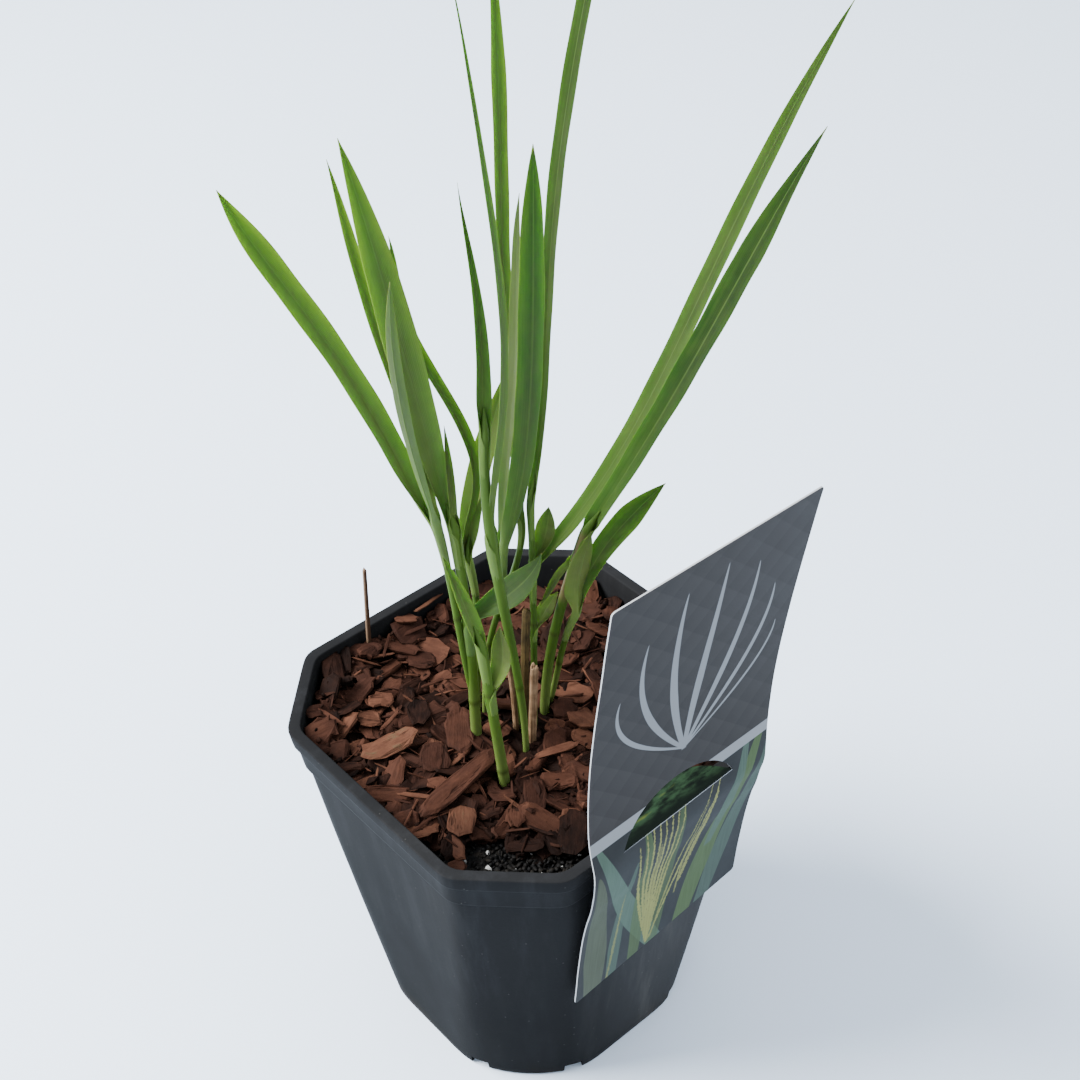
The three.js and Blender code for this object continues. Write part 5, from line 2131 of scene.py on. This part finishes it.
    @staticmethod
    def _inside(loop: Array, x: float, y: float) -> bool:
        """Whether a point lies inside a closed outline."""
        starts, ends = loop, np.roll(loop, -1, axis=0)
        crosses = (starts[:, 1] > y) != (ends[:, 1] > y)
        rise = np.where(ends[:, 1] == starts[:, 1], 1.0, ends[:, 1] - starts[:, 1])
        at = starts[:, 0] + (y - starts[:, 1]) / rise * (ends[:, 0] - starts[:, 0])
        return bool(np.count_nonzero(crosses & (at > x)) % 2)

    def build(self) -> None:
        """Makes the sheet and its flap as one piece."""
        distances, run = self._smooth(self.stations)
        height = float(distances[-1])
        fold = float(np.interp(self.fold_height, run[:, 1], distances))
        hole = self._segment(fold)
        flat, faces = self._tiles(self._rounded(height), hole[::-1])
        patch = Patch()
        patch.extend(self._bend(flat, distances, run), faces, None, self._print_at(flat, height))
        flap_distances, flap_run = self._smooth(self.flap_stations)
        flap, flap_faces = self._tiles(hole[::-1], None)
        bent = self._bend(flap - (0.0, fold), flap_distances, flap_run)
        patch.extend(bent, flap_faces, None, self._print_at(flap, height))
        made = patch.to_object("care_label_sheet", "sheet")
        shell = made.modifiers.new("sheet", "SOLIDIFY")
        shell.thickness = self.thickness * MM
        shell.offset = -1.0
        shell.material_offset = 1
        shell.material_offset_rim = 1
        front = PrintedSheet(height=height, spray=SPRAY, grasses=GRASSES)
        dress(made, [front, PlainSheet(), ShadedFlapPrint(), PlainSheet()])
        for face in made.data.polygons[len(faces) :]:
            face.material_index = self.FLAP_PLACE
        settle(made)
        # The fold's faces take the flap's darkened print as well: painted shade.
        for face in filter(self._on_fold, made.data.polygons):
            face.material_index = self.FLAP_PLACE
        made.data.set_sharp_from_angle(angle=math.radians(self.sharp))
        hand_over(made, "label_plastic", ["care_label"])

    def _on_fold(self, face: bpy.types.MeshPolygon) -> bool:
        """Whether a face is part of the flap's fold, where the two edges run on into each other."""
        x, y, z = np.array(face.center) / MM
        inside = abs(x - self.hanger_middle) < self.hanger_width / 2.0 and abs(z - self.fold_height) < 0.8
        return inside and face.material_index != self.PRINT_PLACE and face.normal.z > 0.4 and y < -70.0

    def _rounded(self, height: float) -> Array:
        """The sheet's outline with small round corners, close enough in steps to bend with the sheet.

        Args:
            height: The flat sheet's height.

        Returns:
            The outline's points, counter-clockwise.
        """
        radius = self.corner
        points = []
        for x, y, start in (
            (self.right - radius, radius, -90.0),
            (self.right - radius, height - radius, 0.0),
            (self.left + radius, height - radius, 90.0),
            (self.left + radius, radius, 180.0),
        ):
            for turn in np.radians(np.linspace(start, start + 90.0, self.corner_points)):
                points.append((x + math.cos(turn) * radius, y + math.sin(turn) * radius))
        starts = np.array(points)
        outline = []
        for start, end in zip(starts, np.roll(starts, -1, axis=0)):
            steps = max(1, round(float(np.linalg.norm(end - start)) / self.pitch))
            outline += [start + (end - start) * step / steps for step in range(steps)]
        return np.array(outline)

    def _bend(self, flat: Array, distances: Array, run: Array) -> Array:
        """Takes flat points to the bent sheet."""
        rows = np.stack([np.interp(flat[:, 1], distances, run[:, axis]) for axis in range(4)], axis=1)
        share = ((flat[:, 0] - self.left) / (self.right - self.left))[:, None]
        return np.column_stack([flat[:, 0], rows[:, :2] * (1.0 - share) + rows[:, 2:] * share])

    def _print_at(self, flat: Array, height: float) -> Array:
        """Where flat points lie on the print, as shares of its width and height."""
        return np.column_stack([(flat[:, 0] - self.left) / (self.right - self.left), flat[:, 1] / height])


# ---------------- studio


@dataclass(frozen=True)
class SoftBox:
    """An area light: where it stands, what it faces, its size and its power."""

    name: str
    place: Triple
    aim: Triple
    size: float
    watts: float
    colour: Colour = (1.0, 1.0, 1.0)

    def build(self) -> None:
        """Makes the light."""
        lamp = bpy.data.lights.new(self.name, "AREA")
        lamp.shape = "DISK"
        lamp.size = self.size
        lamp.energy = self.watts
        lamp.color = self.colour
        made = in_scene(self.name, lamp)
        made.location = self.place
        facing = Vector(self.aim) - Vector(self.place)
        made.rotation_euler = facing.to_track_quat("-Z", "Y").to_euler()


@dataclass(frozen=True)
class Studio:
    """The floor, the soft light and the camera. Places are in metres."""

    camera_place: Triple = (-0.26132, -0.32261, 0.55733)
    azimuth: float = -40.006
    elevation: float = 39.761
    roll: float = -2.055
    lens: float = 56.6
    sensor: float = 36.0
    floor_half: float = 4.0
    sky: Colour = (0.88, 0.93, 1.0)
    sky_strength: float = 1.6
    lights: tuple[SoftBox, ...] = (
        SoftBox("window", (-1.1, 1.0, 1.5), (0.0, 0.0, 0.15), 1.3, 185.0, (1.0, 0.99, 0.97)),
        SoftBox("fill", (1.2, -1.2, 1.4), (0.0, 0.0, 0.15), 1.6, 15.0, (0.95, 0.97, 1.0)),
    )

    def build(self) -> None:
        """Makes the floor, the lights and the camera."""
        patch = Patch()
        half = self.floor_half / MM
        corners = np.array([[-half, -half, 0.0], [half, -half, 0.0], [half, half, 0.0], [-half, half, 0.0]])
        patch.extend(corners, [(0, 1, 2, 3)])
        floor = patch.to_object("floor")
        dress(floor, [PaleFloor()])
        world = bpy.data.worlds.new("soft_sky")
        world.use_nodes = True
        colour, strength = world.node_tree.nodes["Background"].inputs[:2]
        colour.default_value = (*self.sky, 1.0)
        strength.default_value = self.sky_strength
        bpy.context.scene.world = world
        for light in self.lights:
            light.build()
        self._camera()

    def _camera(self) -> None:
        """The camera, placed and turned by its azimuth, elevation and roll."""
        turn, rise, roll = (math.radians(angle) for angle in (self.azimuth, self.elevation, self.roll))
        back = Vector((math.sin(turn) * math.cos(rise), -math.cos(turn) * math.cos(rise), math.sin(rise)))
        level = Vector((math.cos(turn), math.sin(turn), 0.0))
        up = back.cross(level)
        right = math.cos(roll) * level + math.sin(roll) * up
        top = back.cross(right)
        lens = bpy.data.cameras.new("view")
        lens.lens = self.lens
        lens.sensor_width = self.sensor
        lens.sensor_fit = "HORIZONTAL"
        lens.clip_start = 0.01
        made = in_scene("view", lens)
        facing = Matrix((right, top, back)).transposed().to_4x4()
        made.matrix_world = Matrix.Translation(self.camera_place) @ facing
        bpy.context.scene.camera = made


def write_sizes() -> None:
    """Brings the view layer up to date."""
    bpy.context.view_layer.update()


def main() -> None:
    """Builds the plant, its pot and label, and the studio."""
    logging.basicConfig(level=logging.INFO, format="%(name)s: %(message)s")
    Studio().build()
    Pot().build()
    Bed().build(scatter_recipe())
    tube = tube_recipe()
    for tiller in TILLERS:
        tiller.build(tube)
    for culm in DEAD_CULMS:
        culm.build()
    CareLabel().build()
    write_sizes()


if __name__ == "__main__":
    main()
